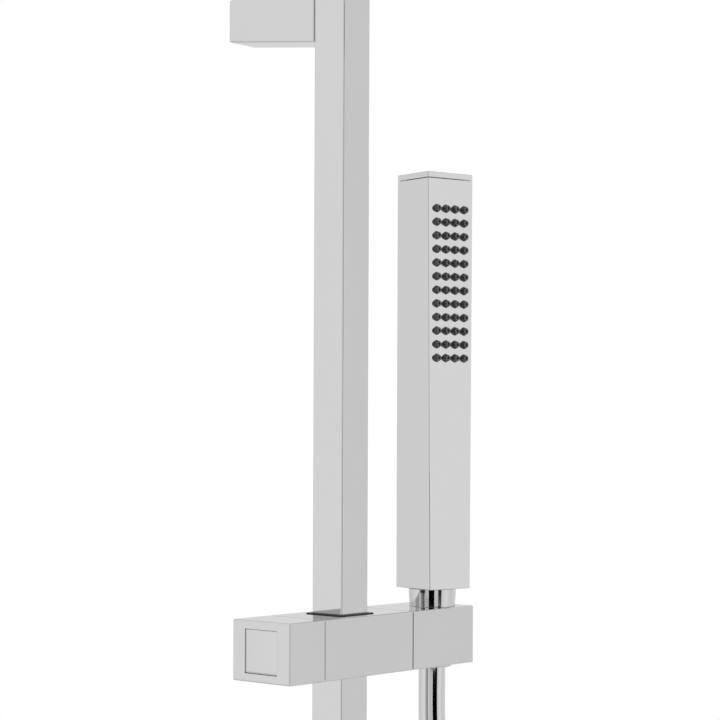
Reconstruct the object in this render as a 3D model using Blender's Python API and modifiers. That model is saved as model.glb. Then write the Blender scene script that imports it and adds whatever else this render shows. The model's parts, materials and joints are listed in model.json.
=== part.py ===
"""Rainfall shower column: square riser, overhead rain head, sliding handset holder and bar mixer.

Metres. The origin is the centre of the wall bracket's wall face. X runs to the right along the
wall, Y runs into the wall and Z runs up, so the whole fitting stands in front of the plane y = 0.
Each assembly is modelled around an empty on its own joint axis.
"""

import math

import bmesh
import bpy
from mathutils import Vector

# Layout
WALL_TO_COLUMN = 0.070
SLIDER_Z = -0.320
MIXER_Z = -1.080
ARM_Z = 0.120
HEAD_REACH = 0.350

# Shared clearances and finish sizes
GAP = 0.0003
EDGE = 0.0004
WALL = 0.0015
ROUND = 20
FINE_ROUND = 28
SMALL_ROUND = 16
PIN_ROUND = 12

# Riser and bracket
TUBE = 0.020
TUBE_INSIDE = TUBE - 2 * WALL
COLUMN_TOP = ARM_Z - TUBE / 2 - GAP
COLUMN_FOOT = MIXER_Z + 0.025
BRACKET_TOP = 0.011
BRACKET_DEPTH_AT_WALL = 0.022
BRACKET_DEPTH_AT_COLUMN = 0.029
BRACKET_WALL = 0.002
BRACKET_END_WALL = 0.003
BOLT_Z = -0.003
BOLT_HOLE = 0.0028

# Slider, in its own frame with the column through (0, 0)
SLIDER_DEPTH = 0.038
SLIDER_HEIGHT = 0.030
KNOB_END_X = -0.0575
KNOB_SEAM_X = -0.0320
HOLDER_SEAM_X = 0.0350
HOLDER_END_X = 0.0850
SEAM = 0.0004
LINER_SIZE = 0.0240
KNOB_INSERT = 0.0220
POCKET_DEPTH = 0.0023
SPINDLE_RADIUS = 0.0040
SPINDLE_BORE = 0.0043
SCREW_HOLE = 0.0023
SOCKET_X = 0.0676
SOCKET_Y = -0.0050

# Handset, heights from the slider's axis
HANDSET_TURN = math.radians(-13)
HANDSET_BOTTOM = 0.0246
HANDSET_TOP = 0.2412
HANDSET_CAP = 0.0029
HANDSET_WALL = 0.002
HANDSET_HALF_WIDTH = (0.0133, 0.0148)
HANDSET_FRONT = (-0.0149, -0.0140)
HANDSET_BACK = (0.0140, 0.0121)
NOZZLE_COLUMNS = 4
NOZZLE_ROWS = 12
NOZZLE_STEP_X = 0.0060
NOZZLE_STEP_Z = 0.00705
NOZZLE_RADIUS = 0.00205
NOZZLE_TOP_Z = 0.2223
NOZZLE_PROUD = 0.0018

# Hose and its two ends
HOSE_RADIUS = 0.007
HOSE_LENGTH = 1.5
HOSE_POINTS = 46
CONE_TOP = 0.0240
CONE_FOOT = -0.0165
CONE_FLOOR = 0.0095
CONE_TOP_RADIUS = 0.0125
CONE_FOOT_RADIUS = 0.0102
THREAD_RADIUS = 0.0100
FERRULE_FLANGE = 0.0018
FERRULE_LENGTH = 0.0216
OUTLET_X = -0.050

# Rain head
HEAD_SIZE = 0.200
BALL_RADIUS = 0.011
BALL_Z = 0.086
NECK_RADIUS = 0.0065
HUB_HEIGHT = 0.006
SHELL_HEIGHT = 0.010
HEAD_WALL = 0.002

# Mixer
MIXER_LENGTH = 0.200
MIXER_DEPTH = 0.044
MIXER_HEIGHT = 0.040
HANDLE_LENGTH = 0.048
UNION_X = 0.075
UNION_HOLE = 0.0103
CARTRIDGE_BORE = 0.014
FLANGE_SIZE = 0.060
FLANGE_DEPTH = 0.006

# Finishes: colour, metallic, roughness
CHROME = ((0.62, 0.62, 0.62), 1.0, 0.08)
BRASS = ((0.62, 0.47, 0.20), 1.0, 0.35)
STEEL = ((0.50, 0.50, 0.50), 1.0, 0.30)
RUBBER = ((0.02, 0.02, 0.02), 0.0, 0.60)
BLACK_PLASTIC = ((0.05, 0.05, 0.05), 0.0, 0.45)
WHITE_PLASTIC = ((0.70, 0.70, 0.68), 0.0, 0.40)


def clear_scene():
    for old in list(bpy.data.objects):
        bpy.data.objects.remove(old, do_unlink=True)


def new_collection(name):
    collection = bpy.data.collections.new(name)
    bpy.context.scene.collection.children.link(collection)
    return collection


def finish_material(name, finish):
    """One Principled material per sub-part, in one of the finishes above."""
    colour, metallic, roughness = finish
    material = bpy.data.materials.new(name)
    material.use_nodes = True
    shader = material.node_tree.nodes["Principled BSDF"]
    shader.inputs["Base Color"].default_value = (*colour, 1.0)
    shader.inputs["Metallic"].default_value = metallic
    shader.inputs["Roughness"].default_value = roughness
    return material


clear_scene()
PARTS = new_collection("rainfall_shower_column")
CUTTERS = new_collection("cutters")


def axis_empty(name, at, parent=None, turn=(0, 0, 0)):
    empty = bpy.data.objects.new(name, None)
    PARTS.objects.link(empty)
    empty.parent = parent
    empty.location = at
    empty.rotation_euler = turn
    return empty


def place(name, mesh, at, parent, finish):
    """A part when it has a finish, and otherwise a cutter that is not rendered."""
    piece = bpy.data.objects.new(name, mesh)
    piece.parent = parent
    piece.location = at
    if finish:
        PARTS.objects.link(piece)
        mesh.materials.append(finish_material(name, finish))
    else:
        CUTTERS.objects.link(piece)
        piece.hide_render = True
        piece.display_type = "WIRE"
    return piece


def box(name, low, high, parent, finish=None, edge=0.0):
    """A box between two corners, with an optional bevel on its edges."""
    low, high = Vector(low), Vector(high)
    mesh = bpy.data.meshes.new(name)
    form = bmesh.new()
    bmesh.ops.create_cube(form, size=1)
    bmesh.ops.scale(form, vec=high - low, verts=form.verts)
    form.to_mesh(mesh)
    form.free()
    piece = place(name, mesh, (low + high) / 2, parent, finish)
    if edge:
        bevel = piece.modifiers.new("edges", "BEVEL")
        bevel.width = edge
        bevel.segments = 1
    return piece


def tapered_box(name, half_width, front, back, heights, parent, finish=None, edge=0.0):
    """A box whose width and depth change from foot to top. Each pair is (foot, top)."""
    piece = box(name, (-1, -1, 0), (1, 1, 1), parent, finish, edge)
    piece.location = (0, 0, 0)
    for vertex in piece.data.vertices:
        level = int(vertex.co.z > 0)
        vertex.co.x = math.copysign(half_width[level], vertex.co.x)
        vertex.co.y = back[level] if vertex.co.y > 0 else front[level]
        vertex.co.z = heights[level]
    return piece


TURN_TO = {"X": (0, math.pi / 2, 0), "Y": (-math.pi / 2, 0, 0), "Z": (0, 0, 0)}


def rod(name, radius, start, length, axis, parent, finish=None, sides=ROUND):
    """A cylinder that begins at start and runs along axis. Six sides make a nut."""
    mesh = bpy.data.meshes.new(name)
    form = bmesh.new()
    bmesh.ops.create_cone(
        form, cap_ends=True, segments=sides, radius1=radius, radius2=radius, depth=abs(length)
    )
    form.to_mesh(mesh)
    form.free()
    middle = Vector(start)
    middle["XYZ".index(axis)] += length / 2
    piece = place(name, mesh, middle, parent, finish)
    piece.rotation_euler = TURN_TO[axis]
    if sides > 6:
        mesh.shade_smooth()
        mesh.set_sharp_from_angle(angle=math.radians(35))
    return piece


def turned(name, profile, at, axis, parent, finish=None, sides=ROUND):
    """A profile of (radius, height) turned about axis.

    It runs down the outer side, and a hollow piece's profile goes on up its bore and is closed.
    """
    solid = profile[0][0] == 0
    mesh = bpy.data.meshes.new(name)
    form = bmesh.new()
    points = [form.verts.new((radius, 0, height)) for radius, height in profile]
    for upper, lower in zip(points, points[1:] + ([] if solid else points[:1])):
        form.edges.new((upper, lower))
    form.to_mesh(mesh)
    form.free()
    piece = place(name, mesh, at, parent, finish)
    piece.rotation_euler = TURN_TO[axis]
    screw = piece.modifiers.new("turn", "SCREW")
    screw.steps = sides
    screw.render_steps = sides
    screw.use_merge_vertices = True
    screw.merge_threshold = 0.00001
    screw.use_smooth_shade = True
    return piece


def sleeve(name, outer, bore, start, length, axis, parent, finish, sides=ROUND):
    """A straight ring or pipe from start along axis."""
    foot, top = sorted((0, length))
    profile = [(outer, top), (outer, foot), (bore, foot), (bore, top)]
    return turned(name, profile, start, axis, parent, finish, sides)


def combine(piece, other, operation):
    boolean = piece.modifiers.new(operation.lower(), "BOOLEAN")
    boolean.operation = operation
    boolean.object = other


def cut(piece, *cutters):
    for cutter in cutters:
        combine(piece, cutter, "DIFFERENCE")


def join(piece, *others):
    for other in others:
        combine(piece, other, "UNION")


def around(x, y, low, high, half):
    """The two corners of an upright square bar about (x, y)."""
    return (x - half, y - half, low), (x + half, y + half, high)


def make_riser(base):
    """The square column with its bolt hole, and the mitred elbow that turns it into the arm."""
    half, inside = TUBE / 2, TUBE_INSIDE / 2
    column = box("riser_column", *around(0, 0, COLUMN_FOOT, COLUMN_TOP, half), base, CHROME, EDGE)
    bore = box("riser_bore", *around(0, 0, COLUMN_FOOT - 0.01, COLUMN_TOP + 0.01, inside), base)
    bolt_hole = rod("riser_bolt_hole", BOLT_HOLE, (0, 0, BOLT_Z), 0.02, "Y", base, sides=PIN_ROUND)
    cut(column, bore, bolt_hole)

    spigot = inside - GAP
    grip = 0.022
    way = 0.005
    elbow = box("arm_elbow", *around(0, 0, COLUMN_TOP + GAP, ARM_Z + half, half), base, CHROME, EDGE)
    down = box("elbow_down", *around(0, 0, COLUMN_TOP - grip, ARM_Z, spigot), base)
    forward = box(
        "elbow_forward", (-spigot, -half - grip, ARM_Z - spigot), (spigot, 0, ARM_Z + spigot), base
    )
    riser_start = COLUMN_TOP - 0.03
    riser_way = rod(
        "elbow_riser_way", way, (0, 0, riser_start), ARM_Z - riser_start, "Z", base, sides=PIN_ROUND
    )
    arm_way = rod("elbow_arm_way", way, (0, 0.004, ARM_Z), -0.05, "Y", base, sides=PIN_ROUND)
    join(elbow, down, forward)
    cut(elbow, riser_way, arm_way)


def make_bracket(base):
    """The hollow arm that tapers towards the wall, and what fixes it at both ends."""
    wall_y = WALL_TO_COLUMN
    half = TUBE / 2
    column_y = half + GAP
    inside_y = column_y + BRACKET_END_WALL
    bracket = box("wall_bracket", (-half, column_y, 0), (half, wall_y, 1), base, CHROME, EDGE)
    inside = half - BRACKET_WALL
    hollow = box("bracket_hollow", (-inside, inside_y, 0), (inside, wall_y + 0.01, 1), base)
    depths = (BRACKET_DEPTH_AT_COLUMN, BRACKET_DEPTH_AT_WALL)
    for piece, shell in ((bracket, 0), (hollow, BRACKET_WALL)):
        piece.location.z = 0
        for vertex in piece.data.vertices:
            depth = depths[vertex.co.y > 0]
            vertex.co.z = BRACKET_TOP - shell if vertex.co.z > 0 else BRACKET_TOP - depth + shell
    grub_y = wall_y - 0.007
    bolt_start = (0, half - 0.002, BOLT_Z)
    shank_hole = rod("bracket_bolt_hole", BOLT_HOLE, bolt_start, 0.01, "Y", base, sides=PIN_ROUND)
    grub_hole = rod("bracket_grub_hole", 0.0023, (0, grub_y, -0.02), 0.015, "Z", base, sides=PIN_ROUND)
    cut(bracket, hollow, shank_hole, grub_hole)

    half_x = inside - GAP
    half_z = BRACKET_DEPTH_AT_WALL / 2 - BRACKET_WALL - GAP
    plate_depth, screw_spacing, screw_hole = 0.012, 0.0116, 0.0019
    plate = box(
        "bracket_wall_plate", (-half_x, wall_y - plate_depth, -half_z), (half_x, wall_y, half_z), base, BRASS
    )
    for side in (-1, 1):
        hole_start = (0, wall_y - 0.02, side * screw_spacing / 2)
        cut(plate, rod(f"plate_hole_{side}", screw_hole, hole_start, 0.03, "Y", base, sides=PIN_ROUND))
    rod("bracket_grub_screw", 0.0020, (0, grub_y, -half_z - GAP), -0.0022, "Z", base, STEEL, sides=PIN_ROUND)
    head, shank = 0.004, 0.0025
    head_height, shank_length = 0.003, 0.0075
    bolt = [
        (0, head_height), (head, head_height), (head, 0),
        (shank, 0), (shank, -shank_length), (0, -shank_length),
    ]
    turned("bracket_bolt", bolt, (0, inside_y + GAP, BOLT_Z), "Y", base, STEEL, sides=PIN_ROUND)


def make_arm(base):
    """The horizontal arm, its end cap and the threaded outlet for the rain head."""
    start = -TUBE / 2 - GAP
    end = -HEAD_REACH - 0.022
    half = TUBE / 2
    arm = box("overhead_arm", (-half, end, ARM_Z - half), (half, start, ARM_Z + half), base, CHROME, EDGE)
    inside = TUBE_INSIDE / 2
    bore_low, bore_high = (-inside, end - 0.01, ARM_Z - inside), (inside, start + 0.01, ARM_Z + inside)
    bore = box("arm_bore", bore_low, bore_high, base)
    neck, thread, bore_radius = 0.0071, 0.0095, 0.0045
    port = rod("arm_port", neck + GAP, (0, -HEAD_REACH, ARM_Z - half - 0.005), 0.01, "Z", base)
    cut(arm, bore, port)

    cap_low = (-half, end - GAP - 0.003, ARM_Z - half)
    cap_high = (half, end - GAP, ARM_Z + half)
    cap = box("arm_end_cap", cap_low, cap_high, base, CHROME, EDGE)
    fit = inside - GAP
    join(cap, box("cap_spigot", (-fit, end - 0.002, ARM_Z - fit), (fit, end + 0.006, ARM_Z + fit), base))

    top, foot = 0.0035, -0.012
    outlet = [
        (neck, top), (neck, -GAP), (thread, -GAP), (thread, foot), (bore_radius, foot), (bore_radius, top)
    ]
    turned("arm_outlet", outlet, (0, -HEAD_REACH, ARM_Z - half), "Z", base, BRASS)


def make_swivel(base):
    """The nut, seal and ball that hang the rain head. Heights run from the ball's centre."""
    centre = (0, -HEAD_REACH, BALL_Z)
    seat = BALL_RADIUS + 0.0004
    lip = [(seat * math.cos(angle), -seat * math.sin(angle)) for angle in (0.61, 0.45, 0.3, 0.15, 0)]
    outside = [(0.0145, 0.0220), (0.0150, 0.0215), (0.0150, -0.0040), (0.0118, -0.0075), (0.0098, -0.0075)]
    inside = [(seat, 0.0125), (0.0099, 0.0125), (0.0099, 0.0220)]
    turned("swivel_nut", outside + lip + inside, centre, "Z", base, CHROME, FINE_ROUND)

    ring, section = 0.0072, 0.0012
    height = math.sqrt((BALL_RADIUS + section + 0.0002) ** 2 - ring**2)
    around_section = [-2 * math.pi * step / 8 for step in range(8)]
    seal = [(ring + section * math.cos(a), height + section * math.sin(a)) for a in around_section]
    turned("ball_seal", seal, centre, "Z", base, RUBBER)


def make_rain_head():
    """The ball on its centre, and the neck, shell, spray plate and nozzle mat that tilt with it."""
    ball_axis = axis_empty("ball_centre", (0, -WALL_TO_COLUMN - HEAD_REACH, BALL_Z))
    waterway = 0.0040
    edge_angle = math.acos(waterway / BALL_RADIUS)
    sweep = [edge_angle * (1 - step / 6) for step in range(13)]
    ball = [(BALL_RADIUS * math.cos(a), BALL_RADIUS * math.sin(a)) for a in sweep]
    turned("swivel_ball", ball, (0, 0, 0), "Z", ball_axis, CHROME)

    head_axis = axis_empty("head_axis", (0, 0, 0), ball_axis)
    clear = BALL_RADIUS + GAP
    top_outer = -math.sqrt(clear**2 - NECK_RADIUS**2)
    top_inner = -math.sqrt(clear**2 - waterway**2)
    hub_top = -0.020
    shell_top = hub_top - HUB_HEIGHT
    shell_foot = shell_top - SHELL_HEIGHT
    collar, collar_top, neck_foot = 0.0095, hub_top + 0.003, shell_top - 0.001
    neck = [
        (NECK_RADIUS, top_outer), (NECK_RADIUS, collar_top + 0.0005), (collar, collar_top),
        (collar, hub_top + GAP), (NECK_RADIUS, hub_top + GAP), (NECK_RADIUS, neck_foot),
        (waterway, neck_foot), (waterway, top_inner),
    ]
    turned("head_neck", neck, (0, 0, 0), "Z", head_axis, CHROME)

    half = HEAD_SIZE / 2
    shell = box("head_shell", *around(0, 0, shell_foot, shell_top, half), head_axis, CHROME, 0.0008)
    hub = box("head_hub", *around(0, 0, shell_top - 0.001, hub_top, 0.018), head_axis)
    inside, inside_top = half - HEAD_WALL, shell_top - HEAD_WALL
    cavity = box("head_cavity", *around(0, 0, shell_foot - 0.01, inside_top, inside), head_axis)
    neck_hole = rod("head_neck_hole", NECK_RADIUS + GAP, (0, 0, shell_top - 0.005), 0.02, "Z", head_axis)
    join(shell, hub)
    cut(shell, cavity, neck_hole)

    plate_half = inside - GAP
    plate_top = shell_foot + WALL
    mat_foot, mat_top = plate_top + GAP, plate_top + GAP + WALL
    box("head_spray_plate", *around(0, 0, shell_foot, plate_top, plate_half), head_axis, CHROME)
    box("head_nozzle_mat", *around(0, 0, mat_foot, mat_top, plate_half), head_axis, RUBBER)


def make_slider(slider_axis):
    """The middle block that rides on the column, with its liner, clamp pad and washer."""
    half_y, half_z = SLIDER_DEPTH / 2, SLIDER_HEIGHT / 2
    low, high = (KNOB_SEAM_X, -half_y, -half_z), (HOLDER_SEAM_X, half_y, half_z)
    body = box("slider_body", low, high, slider_axis, CHROME, EDGE)
    liner_half = LINER_SIZE / 2
    passage = box("slider_passage", *around(0, 0, -0.03, 0.03, liner_half + GAP), slider_axis)
    pad = 0.0070
    pad_bore = rod("slider_pad_bore", pad + GAP, (-0.0175, 0, 0), 0.010, "X", slider_axis)
    spindle_bore = rod(
        "slider_spindle_bore", SPINDLE_BORE, (-0.040, 0, 0), 0.030, "X", slider_axis, sides=SMALL_ROUND
    )
    head_bore = rod("slider_head_bore", 0.0063, (0.008, 0, 0), 0.014, "X", slider_axis)
    pivot_bore = rod(
        "slider_pivot_bore", SPINDLE_BORE, (0.015, 0, 0), 0.030, "X", slider_axis, sides=SMALL_ROUND
    )
    cut(body, passage, pad_bore, spindle_bore, head_bore, pivot_bore)

    liner_end = half_z + 0.0005
    liner = box(
        "slider_liner", *around(0, 0, -liner_end, liner_end, liner_half), slider_axis, BLACK_PLASTIC
    )
    cut(liner, box("liner_bore", *around(0, 0, -0.03, 0.03, TUBE / 2 + GAP), slider_axis))
    rod("clamp_pad", pad, (-0.0168, 0, 0), 0.0042, "X", slider_axis, BLACK_PLASTIC)
    sleeve("friction_washer", 0.0060, SPINDLE_BORE, (0.0196, 0, 0), 0.0021, "X", slider_axis, STEEL)


def make_lock_knob(slider_axis):
    """The square end block that tightens the clamp, with its spindle, screw and face insert."""
    knob_axis = axis_empty("lock_axis", (0, 0, 0), slider_axis)
    half_y, half_z = SLIDER_DEPTH / 2, SLIDER_HEIGHT / 2
    low, high = (KNOB_END_X, -half_y, -half_z), (KNOB_SEAM_X - SEAM, half_y, half_z)
    knob = box("lock_knob", low, high, knob_axis, CHROME, EDGE)
    pocket_half = KNOB_INSERT / 2
    floor_x = KNOB_END_X + POCKET_DEPTH
    pocket_low = (KNOB_END_X - 0.01, -pocket_half, -pocket_half)
    pocket = box("knob_pocket", pocket_low, (floor_x, pocket_half, pocket_half), knob_axis)
    head_bore = rod(
        "knob_head_bore", 0.0045, (floor_x - 0.001, 0, 0), 0.0062, "X", knob_axis, sides=SMALL_ROUND
    )
    screw_hole = rod("knob_screw_hole", SCREW_HOLE, (floor_x, 0, 0), 0.012, "X", knob_axis, sides=PIN_ROUND)
    spindle_socket = rod(
        "knob_spindle_socket", SPINDLE_BORE, (-0.045, 0, 0), 0.020, "X", knob_axis, sides=SMALL_ROUND
    )
    cut(knob, pocket, head_bore, screw_hole, spindle_socket)

    fit = pocket_half - GAP
    insert_low, insert_high = (KNOB_END_X + 0.0001, -fit, -fit), (floor_x - GAP, fit, fit)
    box("knob_insert", insert_low, insert_high, knob_axis, CHROME, 0.0002)
    spindle = rod(
        "lock_spindle", SPINDLE_RADIUS, (-0.0447, 0, 0), 0.0276, "X", knob_axis, BRASS, sides=SMALL_ROUND
    )
    cut(spindle, rod("spindle_tap", SCREW_HOLE, (-0.050, 0, 0), 0.013, "X", knob_axis, sides=PIN_ROUND))
    shank, head = SCREW_HOLE - GAP, 0.0042
    tip_x, head_x = 0.0120, -0.0035
    screw = [(0, tip_x), (shank, tip_x), (shank, 0), (head, 0), (head, head_x), (0, head_x)]
    turned("knob_screw", screw, (-0.0503, 0, 0), "X", knob_axis, STEEL, sides=PIN_ROUND)


def make_holder(slider_axis):
    """The tilting end block with its conical socket, and the bolt it pivots on."""
    holder_axis = axis_empty("holder_axis", (0, 0, 0), slider_axis)
    half_y, half_z = SLIDER_DEPTH / 2, SLIDER_HEIGHT / 2
    low, high = (HOLDER_SEAM_X + SEAM, -half_y, -half_z), (HOLDER_END_X, half_y, half_z)
    holder = box("handset_holder", low, high, holder_axis, CHROME, EDGE)
    play = 0.0002
    reach = SLIDER_HEIGHT / 2 + 0.005
    upper, lower = cone_radius(reach) + play, cone_radius(-reach) + play
    socket = turned(
        "holder_socket", [(0, reach), (upper, reach), (lower, -reach), (0, -reach)],
        (SOCKET_X, SOCKET_Y, 0), "Z", holder_axis, None, FINE_ROUND,
    )
    tapped = rod(
        "holder_tapped_hole", SPINDLE_BORE, (0.030, 0, 0), 0.0200, "X", holder_axis, sides=SMALL_ROUND
    )
    cut(holder, socket, tapped)
    head, tip_x, head_x = 0.0059, 0.0305, -0.0040
    bolt = [
        (0, tip_x), (SPINDLE_RADIUS, tip_x), (SPINDLE_RADIUS, 0), (head, 0), (head, head_x), (0, head_x)
    ]
    turned("holder_pivot_bolt", bolt, (0.0193, 0, 0), "X", holder_axis, STEEL, sides=SMALL_ROUND)
    return holder_axis


def cone_radius(height):
    """The hose cone's outer radius: a straight taper from foot to top."""
    share = (height - CONE_FOOT) / (CONE_TOP - CONE_FOOT)
    return CONE_FOOT_RADIUS + share * (CONE_TOP_RADIUS - CONE_FOOT_RADIUS)


def make_ferrule(name, top, at, parent):
    """A hose end: a flange that seals on the washer above it, and a tail that grips the hose."""
    flange, bore = 0.0096, 0.0045
    foot = top - FERRULE_LENGTH
    profile = [
        (flange, top), (flange, top - FERRULE_FLANGE), (HOSE_RADIUS, top - FERRULE_FLANGE),
        (HOSE_RADIUS, foot), (bore, foot), (bore, top),
    ]
    turned(name, profile, at, "Z", parent, STEEL)
    return foot


def make_hose_cone(socket_axis, handset_axis):
    """The conical nut that screws on the handset and rests in the socket."""
    thread, hose_way = THREAD_RADIUS + 0.00045, HOSE_RADIUS + 0.0004
    profile = [
        (CONE_TOP_RADIUS, CONE_TOP), (CONE_FOOT_RADIUS, CONE_FOOT), (hose_way, CONE_FOOT),
        (hose_way, CONE_FLOOR), (thread, CONE_FLOOR), (thread, CONE_TOP),
    ]
    turned("hose_cone", profile, (0, 0, 0), "Z", handset_axis, CHROME, FINE_ROUND)
    flange_top = CONE_FLOOR + GAP + FERRULE_FLANGE
    make_ferrule("hose_ferrule", flange_top, (0, 0, 0), socket_axis)
    washer_foot, washer = flange_top + GAP, 0.0010
    sleeve("hose_washer", 0.0095, 0.0050, (0, 0, washer_foot), washer, "Z", handset_axis, RUBBER)
    return washer_foot + washer + GAP


def make_handset_inside(handset_axis, thread_foot):
    """Inlet, flow limiter, water tube and spray chamber, in the order that water meets them."""
    floor_z = HANDSET_BOTTOM + HANDSET_WALL
    flange_foot, flange_top, neck_top = floor_z + GAP, floor_z + 0.0080, floor_z + 0.0180
    flange, neck, bore = 0.0108, 0.0055, 0.0045
    inlet = [
        (neck, neck_top), (neck, flange_top), (flange, flange_top), (flange, flange_foot),
        (THREAD_RADIUS, flange_foot), (THREAD_RADIUS, thread_foot), (bore, thread_foot), (bore, neck_top),
    ]
    turned("handset_inlet", inlet, (0, 0, 0), "Z", handset_axis, BRASS)
    limiter = bore - GAP
    sleeve(
        "flow_limiter", limiter, 0.0012, (0, 0, 0.0200), 0.0040, "Z", handset_axis, WHITE_PLASTIC, PIN_ROUND
    )

    chamber_foot, chamber_top, chamber_half = 0.1380, 0.2300, 0.0112
    chamber_front, chamber_back, wall = -0.0095, 0.0080, 0.0012
    tube_foot = flange_top + GAP
    sleeve(
        "water_tube", 0.0075, neck + GAP, (0, 0, tube_foot), chamber_foot - GAP - tube_foot, "Z",
        handset_axis, WHITE_PLASTIC,
    )
    chamber = box(
        "spray_chamber", (-chamber_half, chamber_front, chamber_foot),
        (chamber_half, chamber_back, chamber_top), handset_axis, WHITE_PLASTIC,
    )
    hollow = box(
        "chamber_hollow", (-chamber_half + wall, chamber_front - 0.01, chamber_foot + wall),
        (chamber_half - wall, chamber_back - wall, chamber_top - wall), handset_axis,
    )
    feed_start = (0, 0, chamber_foot - 0.005)
    feed = rod("chamber_feed", 0.0050, feed_start, 0.010, "Z", handset_axis, sides=PIN_ROUND)
    cut(chamber, hollow, feed)


def nozzle_places():
    """Centres of the nozzles about the middle of their field."""
    for row in range(NOZZLE_ROWS):
        for column in range(NOZZLE_COLUMNS):
            x = (column - (NOZZLE_COLUMNS - 1) / 2) * NOZZLE_STEP_X
            z = (row - (NOZZLE_ROWS - 1) / 2) * NOZZLE_STEP_Z
            yield x, z


def pegs(name, foot_radius, tip_radius, foot_y, tip_y, parent):
    """One six-sided peg at every nozzle place, running forward from foot_y to tip_y."""
    mesh = bpy.data.meshes.new(name)
    form = bmesh.new()
    for x, z in nozzle_places():
        peg = bmesh.ops.create_cone(
            form, cap_ends=True, segments=6, radius1=foot_radius, radius2=tip_radius, depth=foot_y - tip_y
        )["verts"]
        for vertex in peg:
            vertex.co = Vector((x + vertex.co.x, (foot_y + tip_y) / 2 - vertex.co.z, z + vertex.co.y))
    form.to_mesh(mesh)
    form.free()
    return place(name, mesh, (0, 0, 0), parent, None)


def make_handset_outside(handset_axis):
    """The tapered shell and its cap, and the rubber mat whose nozzles stand through the front."""
    shell_top = HANDSET_TOP - HANDSET_CAP - SEAM
    length = HANDSET_TOP - HANDSET_BOTTOM
    shell = tapered_box(
        "handset_body", HANDSET_HALF_WIDTH, HANDSET_FRONT, HANDSET_BACK, (HANDSET_BOTTOM, shell_top),
        handset_axis, CHROME, EDGE,
    )
    inner_width = [half - HANDSET_WALL for half in HANDSET_HALF_WIDTH]
    inner_front = [y + HANDSET_WALL for y in HANDSET_FRONT]
    inner_back = [y - HANDSET_WALL for y in HANDSET_BACK]
    inner_heights = (HANDSET_BOTTOM + HANDSET_WALL, shell_top + 0.001)
    hollow = tapered_box("handset_hollow", inner_width, inner_front, inner_back, inner_heights, handset_axis)
    hole_start = (0, 0, HANDSET_BOTTOM - 0.005)
    inlet_hole = rod("handset_inlet_hole", THREAD_RADIUS + GAP, hole_start, 0.010, "Z", handset_axis)
    cut(shell, hollow, inlet_hole)

    cap_foot = HANDSET_TOP - HANDSET_CAP
    width, front, back = HANDSET_HALF_WIDTH[1], HANDSET_FRONT[1], HANDSET_BACK[1]
    cap_low, cap_high = (-width, front, cap_foot), (width, back, HANDSET_TOP)
    cap = box("handset_cap", cap_low, cap_high, handset_axis, CHROME, EDGE)
    inset = HANDSET_WALL + GAP
    plug_low = (-width + inset, front + inset + GAP, cap_foot - 0.004)
    plug_high = (width - inset, back - inset - GAP, cap_foot + 0.001)
    join(cap, box("cap_plug", plug_low, plug_high, handset_axis))

    slope = math.atan2(HANDSET_FRONT[1] - HANDSET_FRONT[0], length)
    field_z = NOZZLE_TOP_Z - (NOZZLE_ROWS - 1) / 2 * NOZZLE_STEP_Z
    field_y = HANDSET_FRONT[0] + math.tan(slope) * (field_z - HANDSET_BOTTOM)
    nozzle_plane = axis_empty("nozzle_plane", (0, field_y, field_z), handset_axis, (-slope, 0, 0))
    mat_front = HANDSET_WALL + 0.0002
    mat_half_x, mat_half_z = 0.0118, NOZZLE_ROWS / 2 * NOZZLE_STEP_Z + 0.002
    mat_low, mat_high = (-mat_half_x, mat_front, -mat_half_z), (mat_half_x, mat_front + 0.0017, mat_half_z)
    mat = box("nozzle_mat", mat_low, mat_high, nozzle_plane, RUBBER)
    tip_radius = NOZZLE_RADIUS * 0.7
    join(mat, pegs("nozzle_pegs", NOZZLE_RADIUS, tip_radius, mat_front + 0.001, -NOZZLE_PROUD, nozzle_plane))
    hole_radius = NOZZLE_RADIUS + 0.0002
    cut(shell, pegs("nozzle_holes", hole_radius, hole_radius, 0.004, -0.001, nozzle_plane))


def make_handset(holder_axis):
    socket_axis = axis_empty("socket_axis", (SOCKET_X, SOCKET_Y, 0), holder_axis)
    handset_axis = axis_empty("handset_axis", (0, 0, 0), socket_axis, (0, 0, HANDSET_TURN))
    thread_foot = make_hose_cone(socket_axis, handset_axis)
    make_handset_inside(handset_axis, thread_foot)
    make_handset_outside(handset_axis)


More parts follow.
